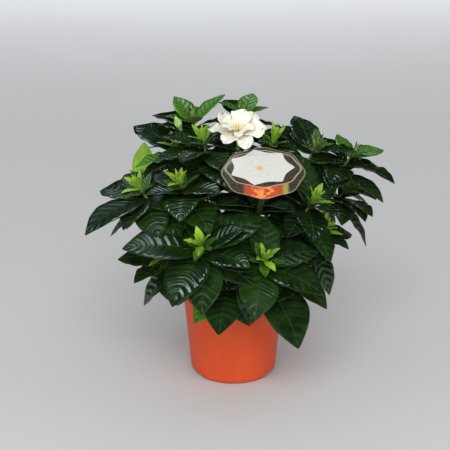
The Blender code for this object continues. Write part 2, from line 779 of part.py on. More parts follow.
def add_label(collection, material, stake_material):
    bm = bmesh.new()
    bmesh.ops.create_circle(bm, cap_ends=True, segments=CARD_SCALLOPS * CARD_POINTS, radius=1.0)
    for vert in bm.verts:
        around = math.atan2(vert.co.y, vert.co.x)
        dip = CARD_SCALLOP_DEPTH * (0.5 - 0.5 * math.cos(CARD_SCALLOPS * around))
        vert.co.x *= CARD_WIDTH / 2 - dip
        vert.co.y *= CARD_HEIGHT / 2 - dip
        vert.co.z = CARD_THICKNESS / 2
    sides = bmesh.ops.extrude_face_region(bm, geom=bm.faces[:])
    moved = [item for item in sides["geom"] if isinstance(item, bmesh.types.BMVert)]
    bmesh.ops.translate(bm, verts=moved, vec=(0.0, 0.0, -CARD_THICKNESS))
    bmesh.ops.recalc_face_normals(bm, faces=bm.faces[:])
    bm.transform(card_frame())
    card = add_object("label_card", mesh_of(bm, "label_card"), collection, material)

    behind = -(CARD_THICKNESS / 2 + FIT + STAKE_THICKNESS / 2)
    route = [card_frame() @ Vector((0.0, along, behind)) for along in STAKE_LAP]
    route += [Vector(point) for point in STAKE_ROUTE]
    bm = bmesh.new()
    last = len(route) - 1
    bmesh.ops.create_grid(bm, x_segments=last, y_segments=1, size=0.5)
    for vert in bm.verts:
        i = round((vert.co.x + 0.5) * last)
        run = (route[min(i + 1, last)] - route[max(i - 1, 0)]).normalized()
        front = run.cross(Vector((1.0, 0.0, 0.0))).normalized()
        sideways = Vector((vert.co.y * STAKE_WIDTH, 0.0, 0.0))
        vert.co = route[i] + sideways + front * STAKE_THICKNESS / 2
    bm.normal_update()
    bmesh.ops.solidify(bm, geom=bm.faces[:], thickness=STAKE_THICKNESS)
    stake = add_object("label_stake", mesh_of(bm, "label_stake"), collection, stake_material)
    return [card, stake]


def add_petals(node, base, axis, petals, material, collection, guides):
    place = frame_along(base, axis)
    core = cylinder_mesh(node, FLOWER_DISC_RADII, FLOWER_DISC_DEPTH, place, FLOWER_DISC_SIDES)
    blades = []
    centre = base + axis * FLOWER_DISC_DEPTH / 2
    ring = whorl(axis, petals["count"], petals["spread"], petals["turn"], petals["length"])
    for i, (azimuth, pitch, length) in enumerate(ring):
        direction = heading(azimuth + PETAL_RUFFLE * (i % 3 - 1), pitch + PETAL_RUFFLE * (1 - i % 2))
        start = centre + direction * PETAL_START
        blades.append(blade(start, direction, axis, length, PETAL, PETAL_THICKNESS))
    return add_cluster(node, core, blades, collection, guides, material)


def add_flower(collection, guides, materials):
    """Calyx, outer and inner petals and the style, stacked along the flower's axis."""
    axis = heading(FLOWER_AZIMUTH, FLOWER_ELEVATION)
    step = FLOWER_DISC_DEPTH + FIT
    calyx = turned("flower_calyx", CALYX_PROFILE, CALYX_STEPS, collection, materials["calyx"])
    calyx.matrix_world = frame_along(FLOWER_AT, axis)
    base = FLOWER_AT + axis * FIT
    outer = add_petals("petals_outer", base, axis, OUTER_PETALS, materials["petal"], collection, guides)
    base += axis * step
    material = materials["inner petal"]
    inner = add_petals("petals_inner", base, axis, INNER_PETALS, material, collection, guides)
    style = turned("flower_style", STYLE_PROFILE, STYLE_STEPS, collection, materials["style"])
    style.matrix_world = frame_along(base + axis * step, axis)
    return [calyx, outer, inner, style]


def add_bud(collection, material):
    bud = turned("flower_bud", BUD_PROFILE, BUD_STEPS, collection, material)
    bud.matrix_world = frame_along(BUD_AT, bud_axis())
    return bud


def main():
    clear_scene()
    plant = new_collection("potted_gardenia", bpy.context.scene.collection)
    guides = new_collection("guides", bpy.context.scene.collection)
    materials = {
        "pot": new_material("terracotta plastic", (0.59, 0.10, 0.032), 0.45),
        "soil": new_material("potting soil", (0.035, 0.022, 0.014), 0.95),
        "stem": new_material("woody stem", (0.20, 0.17, 0.09), 0.75),
        "mature leaf": new_material("mature leaf", (0.022, 0.065, 0.016), 0.28),
        "young leaf": new_material("young leaf", (0.26, 0.46, 0.06), 0.38),
        "calyx": new_material("calyx", (0.17, 0.33, 0.07), 0.5),
        "petal": new_material("petal", (0.88, 0.85, 0.74), 0.55),
        "inner petal": new_material("inner petal", (0.90, 0.84, 0.62), 0.55),
        "style": new_material("style", (0.85, 0.62, 0.18), 0.6),
        "bud": new_material("bud", (0.30, 0.48, 0.12), 0.45),
        "card": new_material("printed card", (0.90, 0.88, 0.84), 0.35),
        "stake": new_material("stake plastic", (0.30, 0.30, 0.22), 0.5),
    }
    solids = [
        add_pot(plant, guides, materials["pot"]),
        add_soil(plant, guides, materials["soil"]),
        *add_trunks(plant, guides, materials["stem"]),
        *add_label(plant, materials["card"], materials["stake"]),
        *add_flower(plant, guides, materials),
        add_bud(plant, materials["bud"]),
    ]
    bpy.context.view_layer.update()
    placed = Placed()
    outers = Placed()
    placed.add_objects(solids)
    cores = {name: shoot_cores(name, shoot) for name, shoot in SHOOTS.items()}
    for shoot_core in cores.values():
        for node, mesh in shoot_core.items():
            placed.add_mesh(mesh, node)
    for name, shoot in SHOOTS.items():
        add_shoot(name, shoot, cores[name], placed, outers, plant, guides, materials)


main()
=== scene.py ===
import itertools
import math
import random

import bmesh
import bpy
from mathutils import Euler, Matrix, Vector, noise
from mathutils.bvhtree import BVHTree


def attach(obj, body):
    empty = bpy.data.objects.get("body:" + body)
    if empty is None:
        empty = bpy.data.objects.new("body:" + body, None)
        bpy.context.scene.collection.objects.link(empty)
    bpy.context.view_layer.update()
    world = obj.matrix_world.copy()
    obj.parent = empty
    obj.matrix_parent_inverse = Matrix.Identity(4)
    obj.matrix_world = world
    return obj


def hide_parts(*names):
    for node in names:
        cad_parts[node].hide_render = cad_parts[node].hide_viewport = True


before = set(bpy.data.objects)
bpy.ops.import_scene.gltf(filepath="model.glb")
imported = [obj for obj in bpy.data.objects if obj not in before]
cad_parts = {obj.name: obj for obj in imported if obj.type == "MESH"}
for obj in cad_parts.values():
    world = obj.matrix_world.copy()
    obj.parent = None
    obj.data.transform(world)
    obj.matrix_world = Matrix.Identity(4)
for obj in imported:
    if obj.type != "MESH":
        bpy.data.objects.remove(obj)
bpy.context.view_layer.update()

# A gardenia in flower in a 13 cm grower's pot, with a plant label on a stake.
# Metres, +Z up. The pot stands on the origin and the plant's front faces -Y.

up = Vector((0.0, 0.0, 1.0))
fit = 0.0003  # the gap between touching pieces


# Camera, floor and lights

studio = {
    "cameraAt": (-0.0104, -1.334, 0.686), "cameraDown": 20.4, "lens": 93.6, "sensor": 36.0,
    "floorReach": 9.0, "lampAim": (0.0, 0.0, 0.2), "lampColour": (1.0, 0.99, 0.97),
    "worldColour": (0.96, 0.98, 1.0), "worldStrength": 0.58,
}
lamps = {  # the overhead one only makes the gloss, and the others only light the surfaces
    "overhead": {"at": (-0.40, 0.16, 1.60), "size": (1.00, 0.70), "power": 15.0,
                 "colour": (0.74, 0.94, 0.98)},
    "key": {"at": (-0.10, -1.70, 1.80), "size": (1.4, 0.8), "power": 28.0},
    "front": {"at": (0.0, -3.2, 1.1), "size": (3.2, 1.6), "power": 41.0},
    "fillLeft": {"at": (-1.8, -1.2, 0.8), "size": (1.5, 1.2), "power": 6.5},
    "fillRight": {"at": (1.8, -1.2, 0.8), "size": (1.5, 1.2), "power": 6.5},
    "backdrop": {"at": (0.0, 3.4, 1.5), "aim": (0.0, 3.4, 0.0), "size": (4.8, 1.6), "power": 62.0,
                 "colour": (0.89, 0.935, 1.0)},
}


def shown(name, data):
    # a new object in the scene, at the origin
    obj = bpy.data.objects.new(name, data)
    bpy.context.scene.collection.objects.link(obj)
    return obj


def addCamera():
    lens = bpy.data.cameras.new("camera")
    lens.sensor_width = studio["sensor"]
    lens.lens = studio["lens"]
    camera = shown("camera", lens)
    camera.location = studio["cameraAt"]
    camera.rotation_euler = (math.radians(90.0 - studio["cameraDown"]), 0.0, 0.0)
    bpy.context.scene.camera = camera


def addLamps():
    for name, setting in lamps.items():
        lamp = bpy.data.lights.new(name, "AREA")
        lamp.shape = "RECTANGLE"
        lamp.size, lamp.size_y = setting["size"]
        lamp.energy = setting["power"]
        lamp.color = setting.get("colour", studio["lampColour"])
        obj = shown(name, lamp)
        obj.location = setting["at"]
        aim = Vector(setting.get("aim", studio["lampAim"]))
        obj.rotation_euler = (aim - obj.location).to_track_quat("-Z", "Y").to_euler()
        obj.visible_glossy = name == "overhead"
        obj.visible_diffuse = name != "overhead"
    world = bpy.data.worlds.new("studio")
    world.use_nodes = True
    sky = world.node_tree.nodes["Background"]
    sky.inputs["Color"].default_value = (*studio["worldColour"], 1.0)
    sky.inputs["Strength"].default_value = studio["worldStrength"]
    world.cycles_visibility.glossy = False
    bpy.context.scene.world = world
    bpy.context.scene.view_settings.view_transform = "Standard"


addCamera()
addLamps()
print("camera and lights are set")


# Shader maths

class Wire:
    # a node's output that Python's operators work on

    def __init__(self, finish, socket):
        self.finish = finish
        self.socket = socket

    def __add__(self, other):
        return self.finish.maths("ADD", self, other)

    def __radd__(self, other):
        return self.finish.maths("ADD", other, self)

    def __sub__(self, other):
        return self.finish.maths("SUBTRACT", self, other)

    def __rsub__(self, other):
        return self.finish.maths("SUBTRACT", other, self)

    def __mul__(self, other):
        return self.finish.maths("MULTIPLY", self, other)

    def __rmul__(self, other):
        return self.finish.maths("MULTIPLY", other, self)

    def __truediv__(self, other):
        return self.finish.maths("DIVIDE", self, other)

    def __rtruediv__(self, other):
        return self.finish.maths("DIVIDE", other, self)


class Finish:
    # a Principled material, with its gloss and other steady values set on the shader's own sockets

    def __init__(self, name, gloss, others=None):
        self.material = bpy.data.materials.new(name)
        self.material.use_nodes = True
        self.tree = self.material.node_tree
        self.surface = self.tree.nodes["Principled BSDF"]
        for socket, value in {"Specular IOR Level": gloss, **(others or {})}.items():
            self.surface.inputs[socket].default_value = value

    def node(self, kind, settings, inputs, output=0):
        made = self.tree.nodes.new(kind)
        for name, value in settings.items():
            setattr(made, name, value)
        for name, value in inputs.items():
            self.feed(made.inputs[name], value)
        return Wire(self, made.outputs[output])

    def feed(self, socket, value):
        if isinstance(value, Wire):
            self.tree.links.new(value.socket, socket)
        else:
            socket.default_value = value

    def maths(self, operation, *values):
        return self.node("ShaderNodeMath", {"operation": operation}, dict(enumerate(values)))

    def place(self):
        return self.node("ShaderNodeTexCoord", {}, {}, "Object")

    def split(self, vector):
        return [self.node("ShaderNodeSeparateXYZ", {}, {0: vector}, axis) for axis in "XYZ"]

    def noise(self, where, scale, detail=2.0, roughness=0.5):
        inputs = {"Vector": where, "Scale": scale, "Detail": detail, "Roughness": roughness}
        return self.node("ShaderNodeTexNoise", {}, inputs)

    def stretch(self, where, scale):
        return self.node("ShaderNodeMapping", {}, {"Vector": where, "Scale": scale})

    def rise(self, value, low, high):
        # 0 below low, 1 above high, smooth between
        inputs = {"Value": value, "From Min": low, "From Max": high}
        return self.node("ShaderNodeMapRange", {"interpolation_type": "SMOOTHSTEP"}, inputs)

    def blend(self, share, first, second, way="MIX"):
        first = first if isinstance(first, Wire) else (*first, 1.0)
        second = second if isinstance(second, Wire) else (*second, 1.0)
        settings = {"data_type": "RGBA", "blend_type": way}
        return self.node("ShaderNodeMix", settings, {0: share, 6: first, 7: second}, 2)

    def tones(self):
        # three values that a piece's points carry
        return self.split(self.node("ShaderNodeAttribute", {"attribute_name": "tone"}, {}, "Vector"))

    def onMap(self, name):
        return self.split(self.node("ShaderNodeUVMap", {"uv_map": name}, {}))

    def done(self, colour, roughness, height, depth):
        bump = self.node("ShaderNodeBump", {}, {"Distance": depth, "Height": height})
        for socket, value in (("Base Color", colour), ("Roughness", roughness), ("Normal", bump)):
            self.feed(self.surface.inputs[socket], value)
        return self.material


def meshFrom(bm, name):
    mesh = bpy.data.meshes.new(name)
    bm.to_mesh(mesh)
    bm.free()
    return mesh


def shapeOf(obj):
    # the object's shape as its settings and modifiers make it
    graph = bpy.context.evaluated_depsgraph_get()
    mesh = bpy.data.meshes.new_from_object(obj.evaluated_get(graph))
    shape = bmesh.new()
    shape.from_mesh(mesh)
    bpy.data.meshes.remove(mesh)
    return shape


def addPiece(name, bm, node, slot, *materials):
    mesh = meshFrom(bm, name)
    for material in materials:
        mesh.materials.append(material)
    mesh.shade_smooth()
    obj = shown(name, mesh)
    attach(obj, "root")
    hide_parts(node)
    return obj


def frameAlong(point, axis):
    return Matrix.Translation(point) @ axis.to_track_quat("Z", "Y").to_matrix().to_4x4()


def heading(azimuth, pitch):
    around = math.radians(azimuth)
    lift = math.radians(pitch)
    return Vector((math.cos(around) * math.cos(lift), math.sin(around) * math.cos(lift), math.sin(lift)))


def smooth(value, low, high):
    share = min(1.0, max(0.0, (value - low) / (high - low)))
    return share * share * (3.0 - 2.0 * share)


def faceOutwards(bm):
    bmesh.ops.recalc_face_normals(bm, faces=bm.faces[:])


def inOrder(bm):
    # some mesh operators leave points and faces in another order each run
    for items, place in ((bm.verts, lambda vert: vert.co[:]),
                         (bm.edges, lambda edge: (edge.verts[0].co + edge.verts[1].co)[:]),
                         (bm.faces, lambda face: face.calc_center_median()[:])):
        ranks = {item: i for i, item in enumerate(sorted(items, key=place))}
        items.sort(key=ranks.get)
    return bm


def tubeInto(bm, points, radii, roundness=2):
    # a closed round tube through the points, with a radius for each of them
    curve = bpy.data.curves.new("tube", "CURVE")
    curve.dimensions = "3D"
    curve.bevel_depth = 1.0
    curve.bevel_resolution = roundness
    curve.use_fill_caps = True
    spline = curve.splines.new("POLY")
    spline.points.add(len(points) - 1)
    for knot, point, radius in zip(spline.points, points, radii):
        knot.co = (*point, 1.0)
        knot.radius = radius
    holder = shown("tube", curve)
    tube = shapeOf(holder)
    bpy.data.objects.remove(holder, do_unlink=True)
    bmesh.ops.remove_doubles(tube, verts=tube.verts[:], dist=0.00001)
    faceOutwards(tube)
    mesh = meshFrom(tube, "tube")
    bm.from_mesh(mesh)
    bpy.data.meshes.remove(mesh)


def turnedShape(profile, steps, rounding=0.0):
    # a closed solid of revolution from (radius, height) points that start and end on the axis
    bm = bmesh.new()
    knots = [bm.verts.new((radius, 0.0, height)) for radius, height in profile]
    for first, second in zip(knots, knots[1:]):
        bm.edges.new((first, second))
    if rounding:
        bmesh.ops.bevel(bm, geom=knots[1:-1] + bm.edges[:], offset=rounding, affect="VERTICES",
                        segments=3, profile=0.5, material=-1)
    bmesh.ops.spin(bm, geom=bm.verts[:] + bm.edges[:], cent=(0.0, 0.0, 0.0), axis=up,
                   angle=math.tau, steps=steps, use_merge=True)
    bmesh.ops.remove_doubles(bm, verts=bm.verts[:], dist=0.000001)
    faceOutwards(bm)
    return bm


def cutAway(bm, cutters):
    # the shape with the cutters' shapes taken out of it
    blank, knife = (shown("blank", meshFrom(shape, "blank")) for shape in (bm, cutters))
    cut = blank.modifiers.new("Cut", "BOOLEAN")
    cut.operation = "DIFFERENCE"
    cut.object = knife
    made = shapeOf(blank)
    for obj in (blank, knife):
        bpy.data.meshes.remove(obj.data)
    return made


def aroundZ(turn):
    return Matrix.Rotation(turn, 4, "Z")


def sharpen(piece, angle):
    piece.data.set_sharp_from_angle(angle=math.radians(angle))


def rounded(points, steps):
    # more points along a smooth curve through the given ones
    ends = [2 * points[0] - points[1], *points, 2 * points[-1] - points[-2]]
    found = []
    for i in range(1, len(ends) - 2):
        for j in range(steps):
            s = j / steps
            a, b, c, d = ends[i - 1:i + 3]
            found.append(0.5 * (2 * b + (c - a) * s + (2 * a - 5 * b + 4 * c - d) * s**2
                                + (3 * b - a - 3 * c + d) * s**3))
    return found + [points[-1]]


# Floor

floorLook = {
    "pale": (0.542, 0.535, 0.530), "cooler": (0.552, 0.549, 0.553),
    "gloss": 0.2, "roughness": 0.75, "relief": 0.00005,
}


def addFloor():
    bm = bmesh.new()
    bmesh.ops.create_circle(bm, cap_ends=True, segments=64, radius=studio["floorReach"])
    mesh = meshFrom(bm, "floor")
    made = Finish("paperSweep", floorLook["gloss"])
    where = made.place()
    grain = made.noise(where, 900.0, 2.0)
    cloud = made.noise(where, 1.5, 2.0)
    colour = made.blend(made.rise(cloud, 0.3, 0.7), floorLook["pale"], floorLook["cooler"])
    roughness = floorLook["roughness"] + grain * 0.1
    mesh.materials.append(made.done(colour, roughness, grain, floorLook["relief"]))
    shown("floor", mesh)


addFloor()
print("floor is laid")


# Pot

pot = {
    "height": 0.109, "rimRadius": 0.0643, "rimDepth": 0.0115, "wallTop": 0.0617,
    "wallFoot": 0.0535, "footHeight": 0.0085, "footRadius": 0.0500, "wall": 0.0016,
    "padRadius": 0.0440, "channel": 0.0055, "edge": 0.0006, "rounding": 0.00025,
    "bead": (0.1020, 0.0014, 0.00035),  # height, depth, how proud
    "notch": (0.0075, 0.026, 0.0052),  # depth, width, height
    "notchAngles": (27, 153, 207, 333), "notchEdge": 0.0008,
    "drain": (0.007, 0.010, 0.0026), "drainAngles": (27, 90, 153, 207, 270, 333), "steps": 144,
}
potLook = {
    "deep": (0.560, 0.064, 0.015), "bright": (0.610, 0.075, 0.019),
    # the dark third colour is a painted contact shadow for the pot's foot
    "contactShadow": (0.300, 0.036, 0.012), "worn": (0.640, 0.140, 0.060),
    "gloss": 0.28, "roughness": 0.40, "relief": 0.00012,
}


def potRadius(height):
    # the outside of the pot's wall
    shoulder = pot["height"] - pot["rimDepth"]
    if height > shoulder:
        return pot["rimRadius"] - pot["edge"] * (pot["height"] - height) / pot["rimDepth"]
    share = (height - pot["footHeight"]) / (shoulder - pot["footHeight"])
    return pot["wallFoot"] + share * (pot["wallTop"] - pot["wallFoot"])


def bead(height, depth, proud):
    found = []
    for rise, out in ((0.0, 0.0), (0.25, 1.0), (0.75, 1.0), (1.0, 0.0)):
        level = height + depth * rise
        found.append((potRadius(level) + proud * out, level))
    return found


def potProfile():
    wall, edge, top = pot["wall"], pot["edge"], pot["height"]
    shoulder = top - pot["rimDepth"]
    pad, channel, rim = pot["padRadius"], pot["channel"], pot["rimRadius"]
    foot = pot["wallFoot"]
    low = pot["footRadius"]
    curve = []  # a quarter of an ellipse from the foot up to the wall
    for i in range(1, 6):
        turn = math.radians(18 * i)
        curve.append((low + (foot - low) * math.sin(turn), pot["footHeight"] * (1 - math.cos(turn))))
    return (
        (0.0, 0.0), (pad, 0.0), (pad + wall, channel), (low - wall, channel), (low - wall, 0.0),
        (low, 0.0), *curve,
        (pot["wallTop"], shoulder - edge), (rim - edge, shoulder),
        *bead(*pot["bead"]),
        (rim, top - edge), (rim - wall / 2, top), (rim - wall, top - edge),
        (rim - edge - wall, shoulder + wall), (pot["wallTop"] - wall, shoulder - wall),
        (foot - wall, pot["footHeight"] + wall), (low - wall / 2, channel + wall),
        (pad, channel + wall), (pad - wall, wall), (0.0, wall),
    )


def potFinish():
    made = Finish("terracottaPlastic", potLook["gloss"])
    where = made.place()
    _, _, height = made.split(where)
    cloud = made.noise(where, 26.0, 4.0, 0.6)
    flow = made.noise(made.stretch(where, (1.0, 1.0, 0.12)), 150.0, 3.0)
    speck = made.noise(where, 1600.0, 1.0)
    scuff = made.noise(made.stretch(where, (1.0, 1.0, 4.0)), 90.0, 6.0, 0.75)
    low = 1.0 - made.rise(height, 0.004, 0.030)
    scuffed = made.rise(scuff, 0.60, 0.74) * (0.06 + low * 0.22)
    colour = made.blend(made.rise(cloud * 0.9 + flow * 0.1, 0.36, 0.64), potLook["deep"], potLook["bright"])
    colour = made.blend(scuffed, colour, potLook["worn"])
    # painted contact shadow: the lowest 2 mm of the pot are darkened in patches where it stands on the
    # floor
    contactShade = (1.0 - made.rise(height, 0.0002, 0.0022)) * (0.5 + cloud * 0.5)
    colour = made.blend(contactShade, colour, potLook["contactShadow"])
    roughness = potLook["roughness"] + cloud * 0.10 + scuffed * 0.30 + speck * 0.06
    relief = speck * 0.5 + flow * 0.5 - scuffed * 0.6
    return made.done(colour, roughness, relief, potLook["relief"])


def boxesInto(bm, angles, size, out, level):
    for angle in angles:
        place = aroundZ(math.radians(angle)) @ Matrix.Translation((out, 0.0, level))
        bmesh.ops.create_cube(bm, size=1.0, matrix=place @ Matrix.Diagonal((*size, 1.0)))


def addPot():
    bm = turnedShape(potProfile(), pot["steps"], pot["rounding"])
    cutters = bmesh.new()
    depth, width, height = pot["notch"]
    middle = pot["padRadius"] + pot["wall"] + fit + depth / 2
    boxesInto(cutters, pot["notchAngles"], (depth, width, 2 * height), middle, 0.0)
    bmesh.ops.bevel(cutters, geom=cutters.edges[:], offset=pot["notchEdge"], affect="EDGES", segments=3,
                    profile=0.5, material=-1)
    level = (pot["channel"] + pot["wall"]) / 2
    boxesInto(cutters, pot["drainAngles"], pot["drain"], pot["padRadius"], level)
    bm = inOrder(cutAway(inOrder(bm), inOrder(cutters)))
    piece = addPiece("growersPot", bm, "pot", "pot", potFinish())
    sharpen(piece, 22.0)
    print("pot is turned,", len(piece.data.polygons), "faces")


addPot()


# Potting soil

soil = {
    "level": 0.0935, "mound": 0.0035, "floor": 0.080, "rings": 26, "steps": 110,
    "lumps": 0.0016, "lumpScale": 130.0, "margin": 0.003, "seat": 0.15, "ragged": 0.35,
    "crumbs": {"count": 240, "size": (0.0009, 0.0030), "shape": (1.0, 0.9, 0.7), "tone": 0.0},
    "chips": {"count": 36, "size": (0.0030, 0.0060), "shape": (1.0, 0.45, 0.22), "tone": 0.5},
    "grit": {"count": 26, "size": (0.0008, 0.0016), "shape": (1.0, 0.9, 0.9), "tone": 1.0},
}
soilLook = {
    "dark": (0.020, 0.012, 0.008), "brown": (0.070, 0.042, 0.024),
    "bark": (0.130, 0.070, 0.036), "grit": (0.520, 0.500, 0.450),
    "gloss": 0.25, "roughness": 0.82, "relief": 0.0009,
}


def soilRadius(height):
    return potRadius(height) - pot["wall"]


def soilHeight(x, y):
    out = math.hypot(x, y) / soilRadius(soil["level"])
    mound = soil["mound"] * (1.0 - smooth(out, 0.2, 1.0))
    lump = noise.fractal(Vector((x, y, 0.0)) * soil["lumpScale"], 0.9, 2.0, 4)
    return soil["level"] + mound + soil["lumps"] * lump * (1.0 - 0.6 * smooth(out, 0.9, 1.0))


def crumbInto(bm, chance, crumb):
    tones = bm.verts.layers.float_color["tone"]
    size = chance.uniform(*crumb["size"])
    around = chance.uniform(0.0, math.tau)
    out = (soilRadius(soil["level"]) - soil["margin"]) * math.sqrt(chance.random())
    x, y = out * math.cos(around), out * math.sin(around)
    place = Matrix.Translation((x, y, soilHeight(x, y) + soil["seat"] * size))
    tilt = Euler([chance.uniform(-0.6, 0.6), chance.uniform(-0.6, 0.6), chance.uniform(0.0, math.tau)])
    sides = [size / 2 * side * chance.uniform(0.75, 1.25) for side in crumb["shape"]]
    made = bmesh.ops.create_icosphere(bm, subdivisions=2, radius=1.0)
    seed = Vector([chance.uniform(0.0, 50.0) for _ in range(3)])
    for vert in made["verts"]:
        vert.co *= 1.0 + soil["ragged"] * noise.noise(vert.co * 1.3 + seed)
        vert.co = place @ tilt.to_matrix().to_4x4() @ Matrix.Diagonal((*sides, 1.0)) @ vert.co
        vert[tones] = (crumb["tone"], chance.random(), 0.0, 1.0)


def soilFinish():
    made = Finish("dampPeat", soilLook["gloss"])
    where = made.place()
    tone, shade, _ = made.tones()
    cloud = made.noise(where, 320.0, 4.0, 0.65)
    grain = made.noise(where, 2400.0, 2.0)
    patch = made.rise(cloud * 0.7 + shade * 0.3, 0.30, 0.70)
    colour = made.blend(patch, soilLook["dark"], soilLook["brown"])
    colour = made.blend(made.rise(tone, 0.25, 0.5), colour, soilLook["bark"])
    colour = made.blend(made.rise(tone, 0.75, 1.0), colour, soilLook["grit"])
    roughness = soilLook["roughness"] + grain * 0.15
    return made.done(colour, roughness, cloud * 0.7 + grain * 0.3, soilLook["relief"])


def addSoil():
    radius = soilRadius(soil["level"]) - fit
    top = [(radius * (i / soil["rings"]), soil["level"]) for i in range(soil["rings"] + 1)]
    foot = soilRadius(soil["floor"]) - fit
    bm = turnedShape([*top, (foot, soil["floor"]), (0.0, soil["floor"])], soil["steps"])
    bm.verts.layers.float_color.new("tone")
    for vert in bm.verts:
        if vert.co.z > soil["level"] - 0.001:
            vert.co.z = soilHeight(vert.co.x, vert.co.y)
    chance = random.Random("soil")
    for crumb in (soil["crumbs"], soil["chips"], soil["grit"]):
        for _ in range(crumb["count"]):
            crumbInto(bm, chance, crumb)
    piece = addPiece("pottingSoil", inOrder(bm), "potting_soil", "soil", soilFinish())
    print("soil is filled,", len(piece.data.polygons), "faces")


addSoil()


# Leaves

crown = Vector((0.0, 0.0, 0.075))  # every shoot points away from here
sprig = {"length": 0.025, "inset": 0.0008, "tipLength": 0.007}
shoots = {  # where each ends, and its leaves by azimuth, pitch and length, in millimetres and degrees
    "front_left": {"trunk": "front_left", "at": (-36, -100, 200),
        "mature": ((87, 33, 70), (14, 31, 82), (184, 5, 94), (142, 12, 58), (266, -50, 74),
                   (237, -31, 80), (324, -2, 65), (352, 30, 55))},
    "front_right": {"trunk": "front_right", "at": (33, -100, 182),
        "mature": ((14, 7, 68), (262, -30, 70), (205, 14, 52), (80, 57, 55), (140, 42, 62),
                   (338, -16, 80), (61, 27, 60))},
    "low_front": {"trunk": "front_left", "at": (-8, -80, 142), "young": (), "under": 0, "pale": {2: 0.9},
        "mature": ((262, -23, 70), (302, -19, 55), (220, -26, 58), (20, 30, 55), (160, 30, 55))},
    "low_front_right": {"trunk": "front_right", "at": (41, -80, 153), "young": (), "under": 0,
        "mature": ((304, -39, 90), (258, -22, 55), (90, 40, 50))},
    "low_right": {"trunk": "front_right", "at": (70, -65, 152), "under": 3,
        "mature": ((322, 4, 60), (345, 40, 92), (60, 30, 55), (250, -20, 50))},
    "low_left": {"trunk": "front_left", "at": (-79, -50, 166), "under": 3,
        "mature": ((226, 2, 60), (275, -32, 60), (168, 6, 64), (90, 0, 50))},
    "left": {"trunk": "front_left", "at": (-107, -40, 246),
        "mature": ((217, -15, 90), (145, -2, 72), (287, -28, 65), (249, -17, 60), (120, 13, 50),
                   (61, 8, 50), (312, -3, 50))},
    "inner_left": {"trunk": "front_left", "at": (-60, -50, 255),
        "mature": ((78, 28, 65), (45, 11, 65), (317, 10, 60), (266, -26, 65), (136, 19, 50),
                   (200, 0, 50))},
    "inner_right": {"trunk": "front_right", "at": (90, -40, 230),
        "mature": ((55, 25, 58), (123, 8, 55), (277, -13, 60), (304, 6, 55), (240, -11, 50),
                   (101, 41, 65))},
    "right_front": {"trunk": "front_right", "at": (102, -30, 190),
        "mature": ((35, 8, 55), (305, 24, 55), (322, 16, 62), (269, -15, 55), (125, 15, 45))},
    "right": {"trunk": "back_right", "at": (135, 20, 226), "ripe": 0.25,
        "mature": ((311, 17, 55), (307, -6, 60), (300, -14, 56), (42, 5, 55), (272, -12, 50))},
    "upper_right": {"trunk": "back_right", "at": (138, 10, 270), "ripe": 0.60,
        "mature": ((27, -13, 62), (322, -4, 72), (128, 40, 62), (200, 10, 55), (250, -5, 55)),
        "young": ((112, 30, 40), (64, 12, 42), (30, 2, 48), (328, 25, 40))},
    "upper_inner_right": {"trunk": "back_right", "at": (94, 0, 283), "ripe": 0.30,
        "mature": ((110, 35, 62), (72, 48, 62), (20, 8, 55), (165, 12, 58), (255, -12, 58),
                   (305, -18, 55))},
    "flower_left": {"trunk": "back_left", "at": (-35, -15, 296),
        "mature": ((190, -5, 62), (245, -12, 60), (310, -14, 60), (150, 10, 55))},
    "flower_right": {"trunk": "back_right", "at": (45, 0, 290),
        "mature": ((48, 28, 65), (309, 13, 50), (98, 44, 55), (345, -8, 60), (250, -15, 50))},
    "upper_left": {"trunk": "back_left", "at": (-66, 12, 280), "pale": {1: 1.0},
        "mature": ((150, 35, 78), (190, -7, 56), (285, 5, 50), (60, 0, 50), (238, -20, 60))},
    "top_left": {"trunk": "back_left", "at": (-47, 30, 306), "ripe": 0.60,
        "mature": ((145, 8, 66), (100, -8, 60), (30, -5, 55), (200, -5, 60)),
        "young": ((132, 37, 45), (88, 40, 46), (34, 24, 53), (270, 30, 35), (168, 30, 37))},
    "top": {"trunk": "back_right", "at": (12, 44, 312), "ripe": 0.60,
        "mature": ((118, 36, 52), (20, -8, 55), (170, -8, 55), (95, -18, 60)),
        "young": ((70, 32, 39), (35, 8, 36), (160, 22, 36))},
    "back_left": {"trunk": "back_left", "at": (-108, 60, 220),
        "young": ((98, 58, 54), (20, 50, 30), (205, 45, 28), (300, 50, 26))},
    "back_upper_left": {"trunk": "back_left", "at": (-50, 95, 262)},
    "back_upper_right": {"trunk": "back_right", "at": (55, 90, 268)},
    "back_right": {"trunk": "back_right", "at": (112, 88, 222)},
    "back": {"trunk": "back_left", "at": (0, 122, 208)},
    "back_low_left": {"trunk": "back_left", "at": (-62, 98, 156), "young": (), "under": 0},
    "back_low_right": {"trunk": "back_right", "at": (66, 102, 158), "young": (), "under": 0},
    "inner": {"trunk": "front_right", "at": (28, -34, 225), "young": (),
        "mature": ((300, 10, 68), (340, 0, 68), (262, -8, 68), (30, 5, 62), (200, 0, 70), (235, 12, 66),
                   (160, 15, 62), (100, 20, 60))},
}
whorls = {  # leaves that are not listed one by one
    "steps": (0.0035, 0.0100),
    "steepPitch": 5,
    "under": {"count": 4, "spread": 98, "turn": 70, "length": 0.066, "step": 0.020},
    "young": {"count": 4, "spread": 36, "turn": 20, "length": 0.025, "levels": (0.35, 0.47, 0.59)},
    "heart": {"count": 4, "spread": 17, "turn": 55, "length": 0.019, "tipShare": 0.8},
    "collar": {"count": 5, "spread": 60, "turn": 10, "length": 0.027, "step": 0.0025,
               "sway": 14, "nod": 10, "sizes": (0.75, 1.1), "tones": (0.20, 0.75)},
    "back": ({"count": 3, "spread": 82, "turn": 30, "length": 0.072},
             {"count": 3, "spread": 58, "turn": 90, "length": 0.064}),
}
